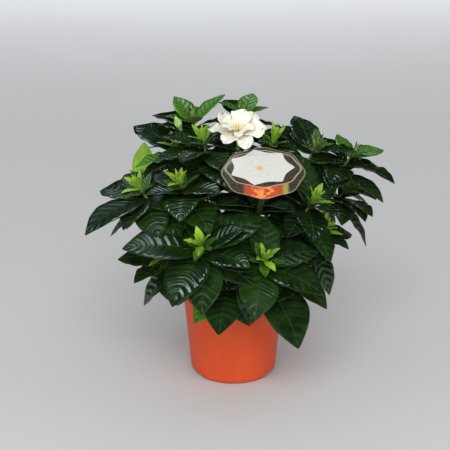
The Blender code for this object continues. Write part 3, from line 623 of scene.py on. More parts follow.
settling = {  # each leaf was turned, lifted or shrunk to clear its neighbours
    "turns": (0, -9, 9, -18, 18, -28, 28, -40, 40), "lifts": (0, -9, 9, -18, 18, -28, 28),
    "sizes": (1.0, 0.9, 0.8, 0.68), "angle": 9, "sizeWeight": 14, "solidThickness": 0.0009,
    "near": 0.0001, "outerShare": 0.4,
}
bladeShape = {"stalk": 0.0011, "point": 0.0004, "waist": 0.95, "round": 0.80}
leafKinds = {
    "mature": {"width": 0.56, "bend": 30, "stations": 5},
    "inner": {"width": 0.56, "bend": 30, "stations": 4},
    "young": {"width": 0.48, "bend": 10, "stations": 3},
    "ripening": {"width": 0.62, "bend": 10, "stations": 3},
    "heart": {"width": 0.30, "bend": 14},
    "collar": {"width": 0.46, "bend": 24},
}
leafForm = {
    "along": 42, "across": 10, "thickness": 0.0005, "veinPairs": (7, 9),
    "veinSweep": 0.17, "puff": 0.00045, "slim": 1.14, "midribDepth": 0.0005,
    "midribWidth": 0.0011, "fold": (0.06, 0.20), "wave": (0.0003, 0.0012), "waves": (2.5, 5.0),
    "droop": 0.05, "sway": 0.03, "twist": 5.0,
}
youngForm = {
    **leafForm,
    "along": 22, "across": 8, "thickness": 0.0004, "veinPairs": (5, 6),
    "puff": 0.00022, "slim": 0.78, "midribDepth": 0.0002, "fold": (0.20, 0.38),
    "wave": (0.0002, 0.0006),
}
collarForm = {**youngForm, "slim": 1.0, "fold": (0.12, 0.26)}
ripeningForm = {**youngForm, "veinPairs": (6, 8), "slim": 1.02, "midribDepth": 0.0003, "fold": (0.10, 0.24)}


def shootPlace(shoot):
    at = Vector([part / 1000 for part in shoot["at"]])
    return at, (at - crown).normalized()


def halfWidth(along, length, kind):
    full = max(0.0, math.sin(math.pi * along ** bladeShape["waist"])) ** bladeShape["round"]
    least = bladeShape["stalk"] + along * (bladeShape["point"] - bladeShape["stalk"])
    return max(least, full * kind["width"] * length / 2)


def arch(along, length, bend):
    # how far along and above its chord a point of an arched midrib lies
    rest = bend * (0.5 - along)
    forward = (math.sin(bend / 2) - math.sin(rest)) / bend
    rise = (math.cos(rest) - math.cos(bend / 2)) / bend
    return forward * length, rise * length


def whorl(axis, ring):
    # leaves evenly around an axis, each leaning from it by the spread
    first = axis.cross(up).normalized()
    spread = math.radians(ring["spread"])
    leaves = []
    for i in range(ring["count"]):
        around = first.copy()
        around.rotate(Matrix.Rotation(math.radians(ring["turn"] + 360 * i / ring["count"]), 3, axis))
        direction = axis * math.cos(spread) + around * math.sin(spread)
        azimuth = math.degrees(math.atan2(direction.y, direction.x))
        leaves.append((azimuth, math.degrees(math.asin(direction.z)), ring["length"]))
    return leaves


def inMetres(leaves):
    return [(azimuth, pitch, length / 1000) for azimuth, pitch, length in leaves]


def matureLeaves(shoot):
    axis = shootPlace(shoot)[1]
    listed = inMetres(shoot.get("mature", ()))
    leaves = listed or [leaf for ring in whorls["back"] for leaf in whorl(axis, ring)]
    kind = leafKinds["mature" if listed else "inner"]
    found = []
    for i, leaf in enumerate(leaves):
        down = whorls["steps"][0 if leaf[1] > whorls["steepPitch"] else 1]
        found.append((leaf, down, kind, shoot.get("pale", {}).get(i, 0.0)))
    under = {**whorls["under"], "count": shoot.get("under", whorls["under"]["count"])}
    return found + [(leaf, under["step"], leafKinds["inner"], 0.0) for leaf in whorl(axis, under)]


def youngLeaves(shoot):
    leaves = inMetres(shoot["young"]) if "young" in shoot else whorl(shootPlace(shoot)[1], whorls["young"])
    levels = whorls["young"]["levels"]
    kind = leafKinds["ripening" if shoot.get("young") else "young"]
    found = []
    for i, leaf in enumerate(leaves):
        down = -(fit + sprig["tipLength"] * levels[i % len(levels)])
        found.append((leaf, down, kind, shoot.get("ripe", 0.0)))
    return found


allSettlings = sorted(  # the smallest changes first
    itertools.product(settling["turns"], settling["lifts"], settling["sizes"]),
    key=lambda way: (abs(way[0]) + abs(way[1])) / settling["angle"] + settling["sizeWeight"] * (1 - way[2]))


def bladeFrame(direction, hint):
    # the way a blade faces, and the way across it
    normal = (hint - hint.project(direction)).normalized()
    return normal, normal.cross(direction)


def liesOn(tree, start, direction, length, hint, kind):
    # whether the solid has a blade's edge here, looked at away from its crowded base
    normal, side = bladeFrame(direction, hint)
    for station in range(kind["stations"], 0, -1):
        along = station / kind["stations"]
        if along < settling["outerShare"]:
            break
        reach = halfWidth(along, length, kind)
        forward, rise = arch(along, length, math.radians(kind["bend"]))
        middle = start + direction * forward + normal * (rise + settling["solidThickness"] / 2)
        for edge in (middle + side * reach, middle - side * reach):
            if tree.find_nearest(edge, settling["near"])[0] is None:
                return False
    return True


def settledLeaf(tree, base, leaf, kind, hint):
    azimuth, pitch, length = leaf
    for turn, lift, size in allSettlings:
        direction = heading(azimuth + turn, pitch + lift)
        start = base + direction * sprig["inset"]
        if liesOn(tree, start, direction, length * size, hint, kind):
            return start, direction, length * size
    return None


def pillow(phase):
    return abs(math.sin(math.pi * phase)) ** 0.7


def growLeaf(bm, start, direction, length, hint, kind, form, tone, chance):
    # a fine grid laid along the arched midrib, puffed up between its side veins
    normal, side = bladeFrame(direction, hint)
    pairs = chance.uniform(*form["veinPairs"])
    fold = chance.uniform(*form["fold"])
    wave = chance.uniform(*form["wave"])
    waves = chance.uniform(*form["waves"])
    turn = [chance.uniform(0.0, 6.28) for _ in range(2)]
    droop = form["droop"] * chance.uniform(0.2, 1.0) * length
    sway = form["sway"] * chance.uniform(-1.0, 1.0) * length
    twist = math.radians(form["twist"] * chance.uniform(-1.0, 1.0))
    veins = bm.loops.layers.uv["veins"]
    tones = bm.verts.layers.float_color["tone"]
    grid = bmesh.ops.create_grid(bm, x_segments=form["along"], y_segments=form["across"], size=0.5)
    for vert in grid["verts"]:
        along = vert.co.x + 0.5
        across = 2.0 * vert.co.y
        out = abs(across)
        reach = halfWidth(along, length, kind) * form["slim"]
        reach *= 1.0 - 0.12 * smooth(along, 0.72, 0.97)  # a drawn-out point
        body = math.sin(math.pi * along)
        phase = (along - form["veinSweep"] * out**1.25) * pairs
        forward, lift = arch(along, length, math.radians(kind["bend"]))
        lift += form["puff"] * pillow(phase) * (1.0 - out**4) * body
        lift += fold * out**1.4 * reach
        lift += wave * math.sin(6.28 * waves * along + turn[across > 0]) * out**2 * body
        groove = math.exp(-((across * reach / form["midribWidth"]) ** 2))
        lift -= form["midribDepth"] * groove * (1.0 - along)
        lift -= droop * smooth(along, 0.55, 1.15)
        lift += across * reach * math.tan(twist) * along
        sideways = across * reach + sway * along * along
        vert.co = start + direction * forward + normal * (lift + form["thickness"] / 2) + side * sideways
        vert[tones] = (tone, along, out, 1.0)
        for loop in vert.link_loops:
            loop[veins].uv = (phase, across * reach * 1000.0)


leafLook = {
    "deep": (0.0034, 0.0105, 0.0028), "green": (0.0105, 0.0320, 0.0058),
    "fresh": (0.080, 0.250, 0.014), "vein": (0.016, 0.038, 0.011),
    "midrib": (0.046, 0.088, 0.028), "gloss": 0.75, "roughness": 0.17, "relief": 0.0013,
}
undersideLook = {
    **leafLook,
    "deep": (0.045, 0.085, 0.025), "green": (0.075, 0.130, 0.040),
    "fresh": (0.220, 0.380, 0.070), "vein": (0.150, 0.220, 0.090),
    "midrib": (0.200, 0.270, 0.110), "gloss": 0.30, "roughness": 0.52, "relief": 0.0004,
}
youngLook = {
    **leafLook,
    "deep": (0.062, 0.185, 0.010), "green": (0.150, 0.350, 0.016),
    "fresh": (0.360, 0.560, 0.036), "vein": (0.260, 0.460, 0.040),
    "midrib": (0.360, 0.540, 0.080), "gloss": 0.5, "roughness": 0.32, "relief": 0.0003,
}


def leafFinish(name, look):
    made = Finish(name, look["gloss"])
    where = made.place()
    phase, offset, _ = made.onMap("veins")
    tone, along, out = made.tones()
    fromVein = made.maths("PINGPONG", phase, 0.5)
    inside = 1.0 - made.rise(out, 0.72, 0.98)
    vein = (1.0 - made.rise(fromVein, 0.02, 0.15)) * inside
    midrib = 1.0 - made.rise(made.maths("ABSOLUTE", offset), 0.20, 0.75)
    cloud = made.noise(where, 55.0, 3.0)
    speck = made.noise(where, 900.0, 2.0)
    colour = made.blend(made.rise(cloud, 0.32, 0.68), look["deep"], look["green"])
    colour = made.blend(tone, colour, look["fresh"])
    colour = made.blend(vein * 0.35, colour, look["vein"])
    colour = made.blend(midrib * 0.65, colour, look["midrib"])
    colour = made.blend(made.rise(out, 0.965, 1.0) * 0.35, colour, look["midrib"])
    dusty = made.rise(made.noise(where, 13.0, 1.0), 0.42, 0.62)
    roughness = look["roughness"] + cloud * 0.10 + vein * 0.06 + speck * 0.05 + dusty * 0.20 - along * 0.03
    height = made.rise(fromVein, 0.0, 0.42) * inside * 0.8 + speck * 0.06 - midrib * 0.4
    return made.done(colour, roughness, height, look["relief"])


freshness = {"mature_leaf": (0.09, 3), "young_leaf": (0.7, 1)}  # the most, and how rare it is

leafTop = leafFinish("glossyLeaf", leafLook)
leafUnderside = leafFinish("leafUnderside", undersideLook)
youngTop = leafFinish("youngLeaf", youngLook)


def leafMesh():
    bm = bmesh.new()
    bm.loops.layers.uv.new("veins")
    bm.verts.layers.float_color.new("tone")
    return bm


def thicken(piece, thickness, under):
    wall = piece.modifiers.new("Wall", "SOLIDIFY")
    wall.thickness = thickness
    wall.offset = -1.0
    wall.material_offset = under


def toneOf(chance, slot):
    most, power = freshness[slot]
    return most * chance.random()**power


def addLeaves(shoot, node, leaves, form, slot, materials):
    at, axis = shootPlace(shoot)
    hint = (axis + up).normalized()
    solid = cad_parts[node].data
    solid.calc_loop_triangles()
    tree = BVHTree.FromPolygons([v.co for v in solid.vertices], [t.vertices for t in solid.loop_triangles])
    chance = random.Random(node)
    bm = leafMesh()
    missed = 0
    for leaf, down, kind, pale in leaves:
        found = settledLeaf(tree, at - axis * down, leaf, kind, hint)
        if found is None:
            missed += 1
            continue
        tone = pale + (1.0 - pale) * toneOf(chance, slot)
        growLeaf(bm, *found, hint, kind, form, tone, chance)
    if slot == "mature_leaf" and "young" not in shoot:
        collar = whorls["collar"]
        base = at - axis * collar["step"]
        for azimuth, pitch, length in whorl(axis, collar):
            azimuth += chance.uniform(-collar["sway"], collar["sway"])
            direction = heading(azimuth, pitch + chance.uniform(-collar["nod"], collar["nod"]))
            length *= chance.uniform(*collar["sizes"])
            tone = chance.uniform(*collar["tones"])
            growLeaf(bm, base, direction, length, hint, leafKinds["collar"], collarForm, tone, chance)
    if slot == "young_leaf":
        tip = at + axis * sprig["tipLength"] * whorls["heart"]["tipShare"]
        for azimuth, pitch, length in whorl(axis, whorls["heart"]):
            direction = heading(azimuth, pitch)
            growLeaf(bm, tip, direction, length, axis, leafKinds["heart"], form, chance.random(), chance)
    piece = addPiece(node.replace("leaves", "foliage"), bm, node, slot, *materials)
    thicken(piece, form["thickness"], len(materials) - 1)
    return missed


def addFoliage():
    missed = 0
    for name, shoot in shoots.items():
        node = "leaves_" + name
        grown = (leafTop, leafUnderside)
        missed += addLeaves(shoot, node, matureLeaves(shoot), leafForm, "mature_leaf", grown)
        if youngLeaves(shoot):
            looks = grown if "ripe" in shoot else (youngTop,)
            form = ripeningForm if shoot.get("young") else youngForm
            missed += addLeaves(shoot, "young_" + node, youngLeaves(shoot), form, "young_leaf", looks)
    print("foliage is grown,", missed, "leaves had no room")


addFoliage()


# Stems

trunks = {
    "front_left": {"foot": (-0.015, -0.013), "top": (-0.024, -0.026, 0.150)},
    "front_right": {"foot": (0.015, -0.011), "top": (0.026, -0.024, 0.145)},
    "back_left": {"foot": (-0.016, 0.014), "top": (-0.022, 0.020, 0.190)},
    "back_right": {"foot": (0.016, 0.015), "top": (0.024, 0.020, 0.185)},
}
stems = {
    "trunkRadii": (0.0042, 0.0026), "branchRadii": (0.0021, 0.0015),
    "sprigRadii": (0.0017, 0.0013, 0.0007), "sprigSteps": (10, 4),
    "buried": 0.020, "bend": 0.100, "lowestFork": 0.108,
    "forkInset": 0.003, "lean": 0.5, "pull": 0.33, "gap": 0.0006,
    "jointSpacing": 0.017, "swelling": 0.30, "step": 0.0022,
}
stemLook = {
    "bark": (0.115, 0.082, 0.048), "pale": (0.240, 0.190, 0.120),
    "green": (0.095, 0.150, 0.035), "fresh": (0.190, 0.300, 0.060),
    "gloss": 0.35, "roughness": 0.80, "relief": 0.0005,
}


def trunkPoint(trunk, height):
    foot = Vector((*trunk["foot"], stems["bend"]))
    top = Vector(trunk["top"])
    return foot.lerp(top, (height - stems["bend"]) / (top.z - stems["bend"]))


def branchRoute(start, end, axis):
    # rising at first, and arriving along the shoot's axis
    reach = (end - start).length
    rising = start + (up + axis * stems["lean"]).normalized() * reach * stems["pull"]
    arriving = end - axis * reach * stems["pull"]
    count = max(4, round(reach / stems["step"]))
    points = []
    for i in range(count + 1):
        s = i / count
        near = (1 - s)**3 * start + 3 * (1 - s)**2 * s * rising
        points.append(near + 3 * (1 - s) * s**2 * arriving + s**3 * end)
    return points


def sprigFoot(shoot):
    at, axis = shootPlace(shoot)
    return at - axis * (sprig["length"] + stems["gap"]), axis


def branchEnds():
    ends = {name: [] for name in trunks}
    for shoot in shoots.values():
        ends[shoot["trunk"]].append(sprigFoot(shoot))
    for name, piece, depth in (("back_right", flower, flower["calyxLength"]), ("back_left", bud, 0.0)):
        axis = heading(*piece["faces"])
        ends[name].append((Vector(piece["at"]) - axis * (depth + stems["gap"]), axis))
    return {name: sorted(found, key=lambda end: end[0].z) for name, found in ends.items()}


def jointedRadii(points, first, last, phase):
    # tapering radii that swell where leaves once grew
    found = []
    travelled = 0.0
    for i, point in enumerate(points):
        travelled += (point - points[i - 1]).length if i else 0.0
        away = abs((travelled / stems["jointSpacing"] + phase) % 1.0 - 0.5)
        swell = 1.0 + stems["swelling"] * (1.0 - smooth(away, 0.02, 0.16))
        share = i / (len(points) - 1)
        found.append((first + share * (last - first)) * swell)
    return found


def stemFinish():
    made = Finish("barkToGreenTwig", stemLook["gloss"])
    where = made.place()
    away = made.node("ShaderNodeVectorMath", {"operation": "DISTANCE"}, {0: where, 1: crown}, "Value")
    patch = made.noise(where, 120.0, 4.0, 0.6)
    fissure = made.noise(made.stretch(where, (1.0, 1.0, 0.16)), 900.0, 3.0, 0.7)
    pore = made.rise(made.noise(where, 1500.0, 1.0), 0.62, 0.72)
    green = made.rise(away + patch * 0.06, 0.075, 0.165)
    weathered = made.rise(fissure * 0.6 + patch * 0.4, 0.38, 0.62)
    bark = made.blend(weathered, stemLook["bark"], stemLook["pale"])
    twig = made.blend(made.rise(patch, 0.35, 0.65), stemLook["green"], stemLook["fresh"])
    colour = made.blend(green, bark, twig)
    colour = made.blend(pore * 0.35, colour, stemLook["pale"])
    roughness = stemLook["roughness"] - green * 0.30 + pore * 0.1
    return made.done(colour, roughness, fissure * (1.2 - green) + pore * 0.3, stemLook["relief"])


def addStems():
    finish = stemFinish()
    ends = branchEnds()
    for name, trunk in trunks.items():
        chance = random.Random("stem " + name)
        bm = bmesh.new()
        low = Vector((*trunk["foot"], soil["level"] - stems["buried"]))
        route = rounded([low, Vector((*trunk["foot"], stems["bend"])), Vector(trunk["top"])], 14)
        radii = jointedRadii(route, *stems["trunkRadii"], chance.random())
        tubeInto(bm, route, radii, 4)
        highest = trunk["top"][2] - stems["forkInset"]
        for i, (end, axis) in enumerate(ends[name]):
            share = i / (len(ends[name]) - 1)
            start = trunkPoint(trunk, stems["lowestFork"] + share * (highest - stems["lowestFork"]))
            route = branchRoute(start, end, axis)
            tubeInto(bm, route, jointedRadii(route, *stems["branchRadii"], chance.random()))
        for shoot in shoots.values():
            if shoot["trunk"] != name:
                continue
            first, axis = sprigFoot(shoot)
            last = shootPlace(shoot)[0] + axis * (sprig["tipLength"] if youngLeaves(shoot) else -fit)
            thick, middle, thin = stems["sprigRadii"]
            lower, upper = stems["sprigSteps"]
            route = [first.lerp(last, i / (lower + upper)) for i in range(lower + upper + 1)]
            radii = [thick + (middle - thick) * i / lower for i in range(lower)]
            radii += [middle + (thin - middle) * i / upper for i in range(upper + 1)]
            tubeInto(bm, route, radii)
        piece = addPiece("stem_" + name + "_bark", bm, "stem_" + name, "stem", finish)
        print(piece.name, "is grown")


# Flower

flower = {
    "at": (0.004, -0.032, 0.312), "faces": (265, 68), "discDepth": 0.0036, "calyxLength": 0.016,
    "calyx": ((0.0, 0.0), (0.0030, -0.0002), (0.0037, -0.0010), (0.0037, -0.0028), (0.0033, -0.0055),
              (0.0025, -0.0090), (0.0020, -0.0125), (0.0018, -0.0160), (0.0, -0.0160)),
    "calyxRibs": (48, 6, 0.07),  # steps around, ribs, depth
    "teeth": {"count": 6, "foot": (0.0034, 0.0, -0.0028), "length": 0.0105, "width": 0.0017, "lean": 0.55},
    "toothThickness": 0.0003, "ruffle": 4, "petalStart": 0.0023,
    "outer": {"count": 6, "length": 0.034, "spread": 82, "turn": 0, "lifts": (4, 2, -4, 8, 8, 6),
              "sizes": (0.92, 0.66, 0.78, 0.92, 0.98, 0.98),
              "widths": (0.80, 1.02, 0.80, 0.92, 0.98, 0.88),
              "slot": "petal", "finish": "creamPetal", "warmth": 0.62},
    "inner": {"count": 5, "length": 0.024, "spread": 50, "turn": 36, "lifts": (0, -20, -14, 0, -6),
              "sizes": (0.95, 0.62, 0.80, 1.00, 0.84), "widths": (0.90, 0.86, 0.82, 1.00, 0.86),
              "slot": "inner_petal", "finish": "warmPetal", "warmth": 0.80},
    "style": ((0.0, 0.0130), (0.0009, 0.0127), (0.0015, 0.0118), (0.0017, 0.0100), (0.0015, 0.0082),
              (0.0010, 0.0062), (0.0008, 0.0030), (0.0009, -0.0040), (0.0, -0.0040)),
    "styleRibs": (40, 5, 0.10), "stamens": 6, "stamenFoot": (0.0014, -0.001),
    "stamenReach": (0.0050, 0.0085), "stamenKnots": (0, 0.3, 0.6, 0.9, 1.0),
    "stamenRadii": (0.0004, 0.0005, 0.0008, 0.0007, 0.0002),
}
petalShape = {"bend": 26, "waist": 1.55, "round": 0.46}
petalForm = {
    "along": 26, "across": 16, "thickness": 0.0005, "cup": (0.16, 0.34),
    "curl": (0.00, 0.10), "ruffle": (0.0013, 0.0026), "ragged": (0.030, 0.060),
    "ruffles": (1.6, 2.6), "twist": (8.0, 18.0), "claw": 0.50,
}
petalLook = {
    "white": (0.770, 0.735, 0.645), "cream": (0.850, 0.790, 0.620),
    "heart": (0.800, 0.690, 0.380), "shade": (0.700, 0.690, 0.580),
    "gloss": 0.3, "roughness": 0.48, "relief": 0.00022,
    "glow": {"Subsurface Weight": 0.15, "Subsurface Scale": 0.004},
}
sapLook = {  # a deep and a fresh colour, and roughness
    "gloss": 0.4, "relief": 0.0003,
    "calyxGreen": ((0.050, 0.120, 0.018), (0.120, 0.230, 0.040), 0.42),
    "pollenYellow": ((0.780, 0.670, 0.340), (0.850, 0.790, 0.540), 0.55),
    "budGreen": ((0.230, 0.400, 0.090), (0.480, 0.620, 0.250), 0.40),
    "stakePlastic": ((0.008, 0.013, 0.005), (0.016, 0.024, 0.010), 0.42),
}


def petalWidth(along, length, width):
    full = max(0.0, math.sin(math.pi * along**petalShape["waist"]))**petalShape["round"]
    claw = petalForm["claw"] * width * (1.0 - along)
    return max(claw, full * width) * length / 2


def growPetal(bm, start, direction, hint, length, width, chance):
    # cupped at its base, ruffled and ragged along its edge, and turned a little like a pinwheel's blade
    normal, side = bladeFrame(direction, hint)
    form = petalForm
    cup, curl, ruffle, ruffles, twist, ragged = (
        chance.uniform(*form[name]) for name in ("cup", "curl", "ruffle", "ruffles", "twist", "ragged"))
    turns = [chance.uniform(0.0, math.tau) for _ in range(3)]
    tones = bm.verts.layers.float_color["tone"]
    grid = bmesh.ops.create_grid(bm, x_segments=form["along"], y_segments=form["across"], size=0.5)
    for vert in grid["verts"]:
        along = vert.co.x + 0.5
        across = 2.0 * vert.co.y
        out = abs(across)
        wavy = 1.0 + math.sin(along * 9.0 + turns[across > 0])
        reach = petalWidth(along, length, width) * (1.0 - 0.08 * wavy)
        body = smooth(along, 0.15, 0.75)
        outer = smooth(along, 0.70, 1.0)
        forward, lift = arch(along, length, math.radians(petalShape["bend"]))
        lift += cup * out**1.8 * reach * (1.2 - along)
        lift += ruffle * math.sin(math.tau * ruffles * along + turns[across > 0]) * out**2 * body
        lift += 0.6 * ruffle * math.sin(across * 5.5 + turns[2]) * outer
        lift -= curl * length * smooth(along, 0.62, 1.1)
        lift += across * reach * math.tan(math.radians(twist)) * body
        torn = math.sin(across * 6.0 + turns[0]) + 0.6 * math.sin(across * 13.0 + turns[1])
        forward += ragged * length * torn * outer
        lift += form["thickness"] / 2
        vert.co = start + direction * forward + normal * lift + side * across * reach
        vert[tones] = (0.5 + 0.5 * across, along, out, 1.0)


def petalFinish(name, warmth):
    made = Finish(name, petalLook["gloss"], petalLook["glow"])
    where = made.place()
    across, along, out = made.tones()
    lines = made.node("ShaderNodeCombineXYZ", {}, {0: across * 26.0, 1: along * 2.2, 2: 0.0})
    veins = made.noise(lines, 1.0, 2.0)
    cloud = made.noise(where, 180.0, 3.0)
    inner = 1.0 - made.rise(along, 0.02, warmth)
    heart = 1.0 - made.rise(along, 0.0, warmth * 0.45)
    colour = made.blend(inner * 0.85, petalLook["white"], petalLook["cream"])
    colour = made.blend(heart * 0.8, colour, petalLook["heart"])
    colour = made.blend(made.rise(veins, 0.40, 0.70) * 0.30, colour, petalLook["shade"])
    colour = made.blend(made.rise(cloud, 0.5, 0.8) * 0.10, colour, petalLook["cream"])
    roughness = petalLook["roughness"] + cloud * 0.12 + out * 0.04
    return made.done(colour, roughness, veins * 0.7 + cloud * 0.3, petalLook["relief"])


def petalRing(bm, base, axis, ring, chance):
    centre = base + axis * flower["discDepth"] / 2
    for i, (azimuth, pitch, length) in enumerate(whorl(axis, ring)):
        direction = heading(azimuth + flower["ruffle"] * (i % 3 - 1), pitch + ring["lifts"][i])
        start = centre + direction * flower["petalStart"]
        growPetal(bm, start, direction, axis, length * ring["sizes"][i], ring["widths"][i], chance)


def ribbed(profile, steps, ribs, depth):
    bm = turnedShape(profile, steps)
    for vert in bm.verts:
        around = math.atan2(vert.co.y, vert.co.x)
        vert.co.xy *= 1.0 + depth * math.cos(ribs * around)
    return bm


def teethInto(bm, count, foot, length, width, lean):
    # narrow green teeth that stand in a ring and lean outwards
    thickness = flower["toothThickness"]
    for i in range(count):
        place = aroundZ(math.tau * i / count) @ Matrix.Translation(foot)
        grid = bmesh.ops.create_grid(bm, x_segments=2, y_segments=8, size=0.5)
        for vert in grid["verts"]:
            along = vert.co.y + 0.5
            reach = width * (0.12 + 0.88 * (1.0 - along)**0.8)
            bow = lean * length * along * along + thickness * (1.0 - abs(2 * vert.co.x))
            vert.co = place @ Vector((bow, vert.co.x * reach, along * length))
        faces = list(dict.fromkeys(face for vert in grid["verts"] for face in vert.link_faces))
        bmesh.ops.recalc_face_normals(bm, faces=faces)
        bmesh.ops.solidify(bm, geom=faces, thickness=thickness)
    faceOutwards(bm)


def sapFinish(name):
    deep, fresh, roughness = sapLook[name]
    made = Finish(name, sapLook["gloss"])
    where = made.place()
    cloud = made.noise(where, 260.0, 3.0)
    speck = made.noise(where, 1800.0, 2.0)
    colour = made.blend(made.rise(cloud, 0.35, 0.65), deep, fresh)
    roughness = roughness + cloud * 0.12 + speck * 0.05
    return made.done(colour, roughness, cloud * 0.6 + speck * 0.4, sapLook["relief"])


def addFlower():
    at = Vector(flower["at"])
    axis = heading(*flower["faces"])
    bm = ribbed(flower["calyx"], *flower["calyxRibs"])
    teethInto(bm, **flower["teeth"])
    bm.transform(frameAlong(at, axis))
    addPiece("flowerCalyx", inOrder(bm), "flower_calyx", "calyx", sapFinish("calyxGreen"))

    chance = random.Random("petals")
    base = at + axis * fit
    for name in ("outer", "inner"):
        ring = flower[name]
        bm = leafMesh()
        petalRing(bm, base, axis, ring, chance)
        finish = petalFinish(ring["finish"], ring["warmth"])
        petals = addPiece(name + "Petals", bm, "petals_" + name, ring["slot"], finish)
        thicken(petals, petalForm["thickness"], 0)
        base += axis * (flower["discDepth"] + fit)

    bm = ribbed(flower["style"], *flower["styleRibs"])
    out, low = flower["stamenFoot"]
    spread, rise = flower["stamenReach"]
    for i in range(flower["stamens"]):
        turn = aroundZ(math.tau * (i + 0.5) / flower["stamens"])
        route = [turn @ Vector((out + spread * s**1.5, 0.0, low + rise * s)) for s in flower["stamenKnots"]]
        tubeInto(bm, route, flower["stamenRadii"])
    bm.transform(frameAlong(base, axis))
    addPiece("flowerStyle", inOrder(bm), "flower_style", "style", sapFinish("pollenYellow"))
    print("flower is open")


# Flower bud

bud = {
    "at": (-0.063, 0.014, 0.306), "faces": (230, 62), "ridges": 5, "ridgeDepth": 0.13,
    "twist": 150.0, "length": 0.0210, "steps": 60, "longEdge": 0.0004,
    "profile": ((0.0, 0.0210), (0.0006, 0.0206), (0.0013, 0.0194), (0.0023, 0.0174), (0.0034, 0.0148),
                (0.0043, 0.0124), (0.0047, 0.0104), (0.0045, 0.0084), (0.0038, 0.0062), (0.0029, 0.0042),
                (0.0023, 0.0024), (0.0020, 0.0010), (0.0017, 0.0), (0.0, 0.0)),
    "teeth": {"count": 5, "foot": (0.0024, 0.0, 0.0026), "length": 0.0090, "width": 0.0015, "lean": 0.42},
}


def edgeRise(edge):
    return abs(edge.verts[0].co.z - edge.verts[1].co.z)


def addBud():
    bm = turnedShape(bud["profile"], bud["steps"])
    upright = [edge for edge in bm.edges if edgeRise(edge) > bud["longEdge"]]
    bmesh.ops.subdivide_edges(bm, edges=upright, cuts=2, use_grid_fill=True)
    for vert in bm.verts:
        share = vert.co.z / bud["length"]
        around = math.atan2(vert.co.y, vert.co.x) + math.radians(bud["twist"]) * share
        ridge = abs(math.sin(bud["ridges"] * around / 2))**0.6
        vert.co.xy *= 1.0 - bud["ridgeDepth"] * (1.0 - ridge) * smooth(share, 0.2, 0.5)
    teethInto(bm, **bud["teeth"])
    bm.transform(frameAlong(Vector(bud["at"]), heading(*bud["faces"])))
    piece = addPiece("flowerBud", inOrder(bm), "flower_bud", "bud", sapFinish("budGreen"))
    print("bud is set,", len(piece.data.polygons), "faces")


# Plant label

label = {
    "at": (0.033, -0.070, 0.279), "width": 0.096, "height": 0.066, "scallops": 8,
    "dip": 0.0022, "thickness": 0.0010, "lean": 45, "corners": 192, "edge": 0.0002,
    "stakeWidth": 0.007, "stakeThickness": 0.0012, "rib": 0.00035, "ribEdges": (0.08, 0.22),
    "stakePoint": 0.7, "lap": (0.004, -0.022), "lapSteps": 5, "bendSteps": 6,
    "route": ((0.030, -0.080, 0.243), (0.024, -0.063, 0.215), (0.016, -0.050, 0.183),
              (0.009, -0.043, 0.150), (0.004, -0.040, 0.115), (0.004, -0.040, 0.064)),
}
labelPrint = {  # distances on the card in millimetres
    "olive": (0.020, 0.016, 0.010), "oliveLight": (0.072, 0.060, 0.034),
    "line": (0.340, 0.310, 0.220), "panel": (0.520, 0.515, 0.478),
    "petalLine": (0.360, 0.340, 0.370), "ochre": (0.520, 0.340, 0.110),
    "teal": (0.240, 0.500, 0.540), "orange": (0.800, 0.230, 0.050),
    "orangeDeep": (0.360, 0.050, 0.016), "moss": (0.260, 0.240, 0.050), "lineAt": (0.0, 5.0),
    "lineHalf": (43.0, 23.5), "lineWidth": 0.022, "panelAt": (-2.0, 7.0),
    "panelHalf": (35.0, 21.5), "panelWaves": (7.0, 0.19), "heartAt": (-4.0, 6.0),
    "bandEnds": (14.0, 24.0), "dashAt": 23.5, "gloss": 0.25, "roughness": 0.34, "relief": 0.00004,
    "varnish": {"Coat Weight": 0.1, "Coat Roughness": 0.25},
}


def labelFrame():
    # X along the card's width, Y up it, Z out of its printed face
    lean = Matrix.Rotation(math.radians(90 - label["lean"]), 4, "X")
    return Matrix.Translation(Vector(label["at"])) @ lean


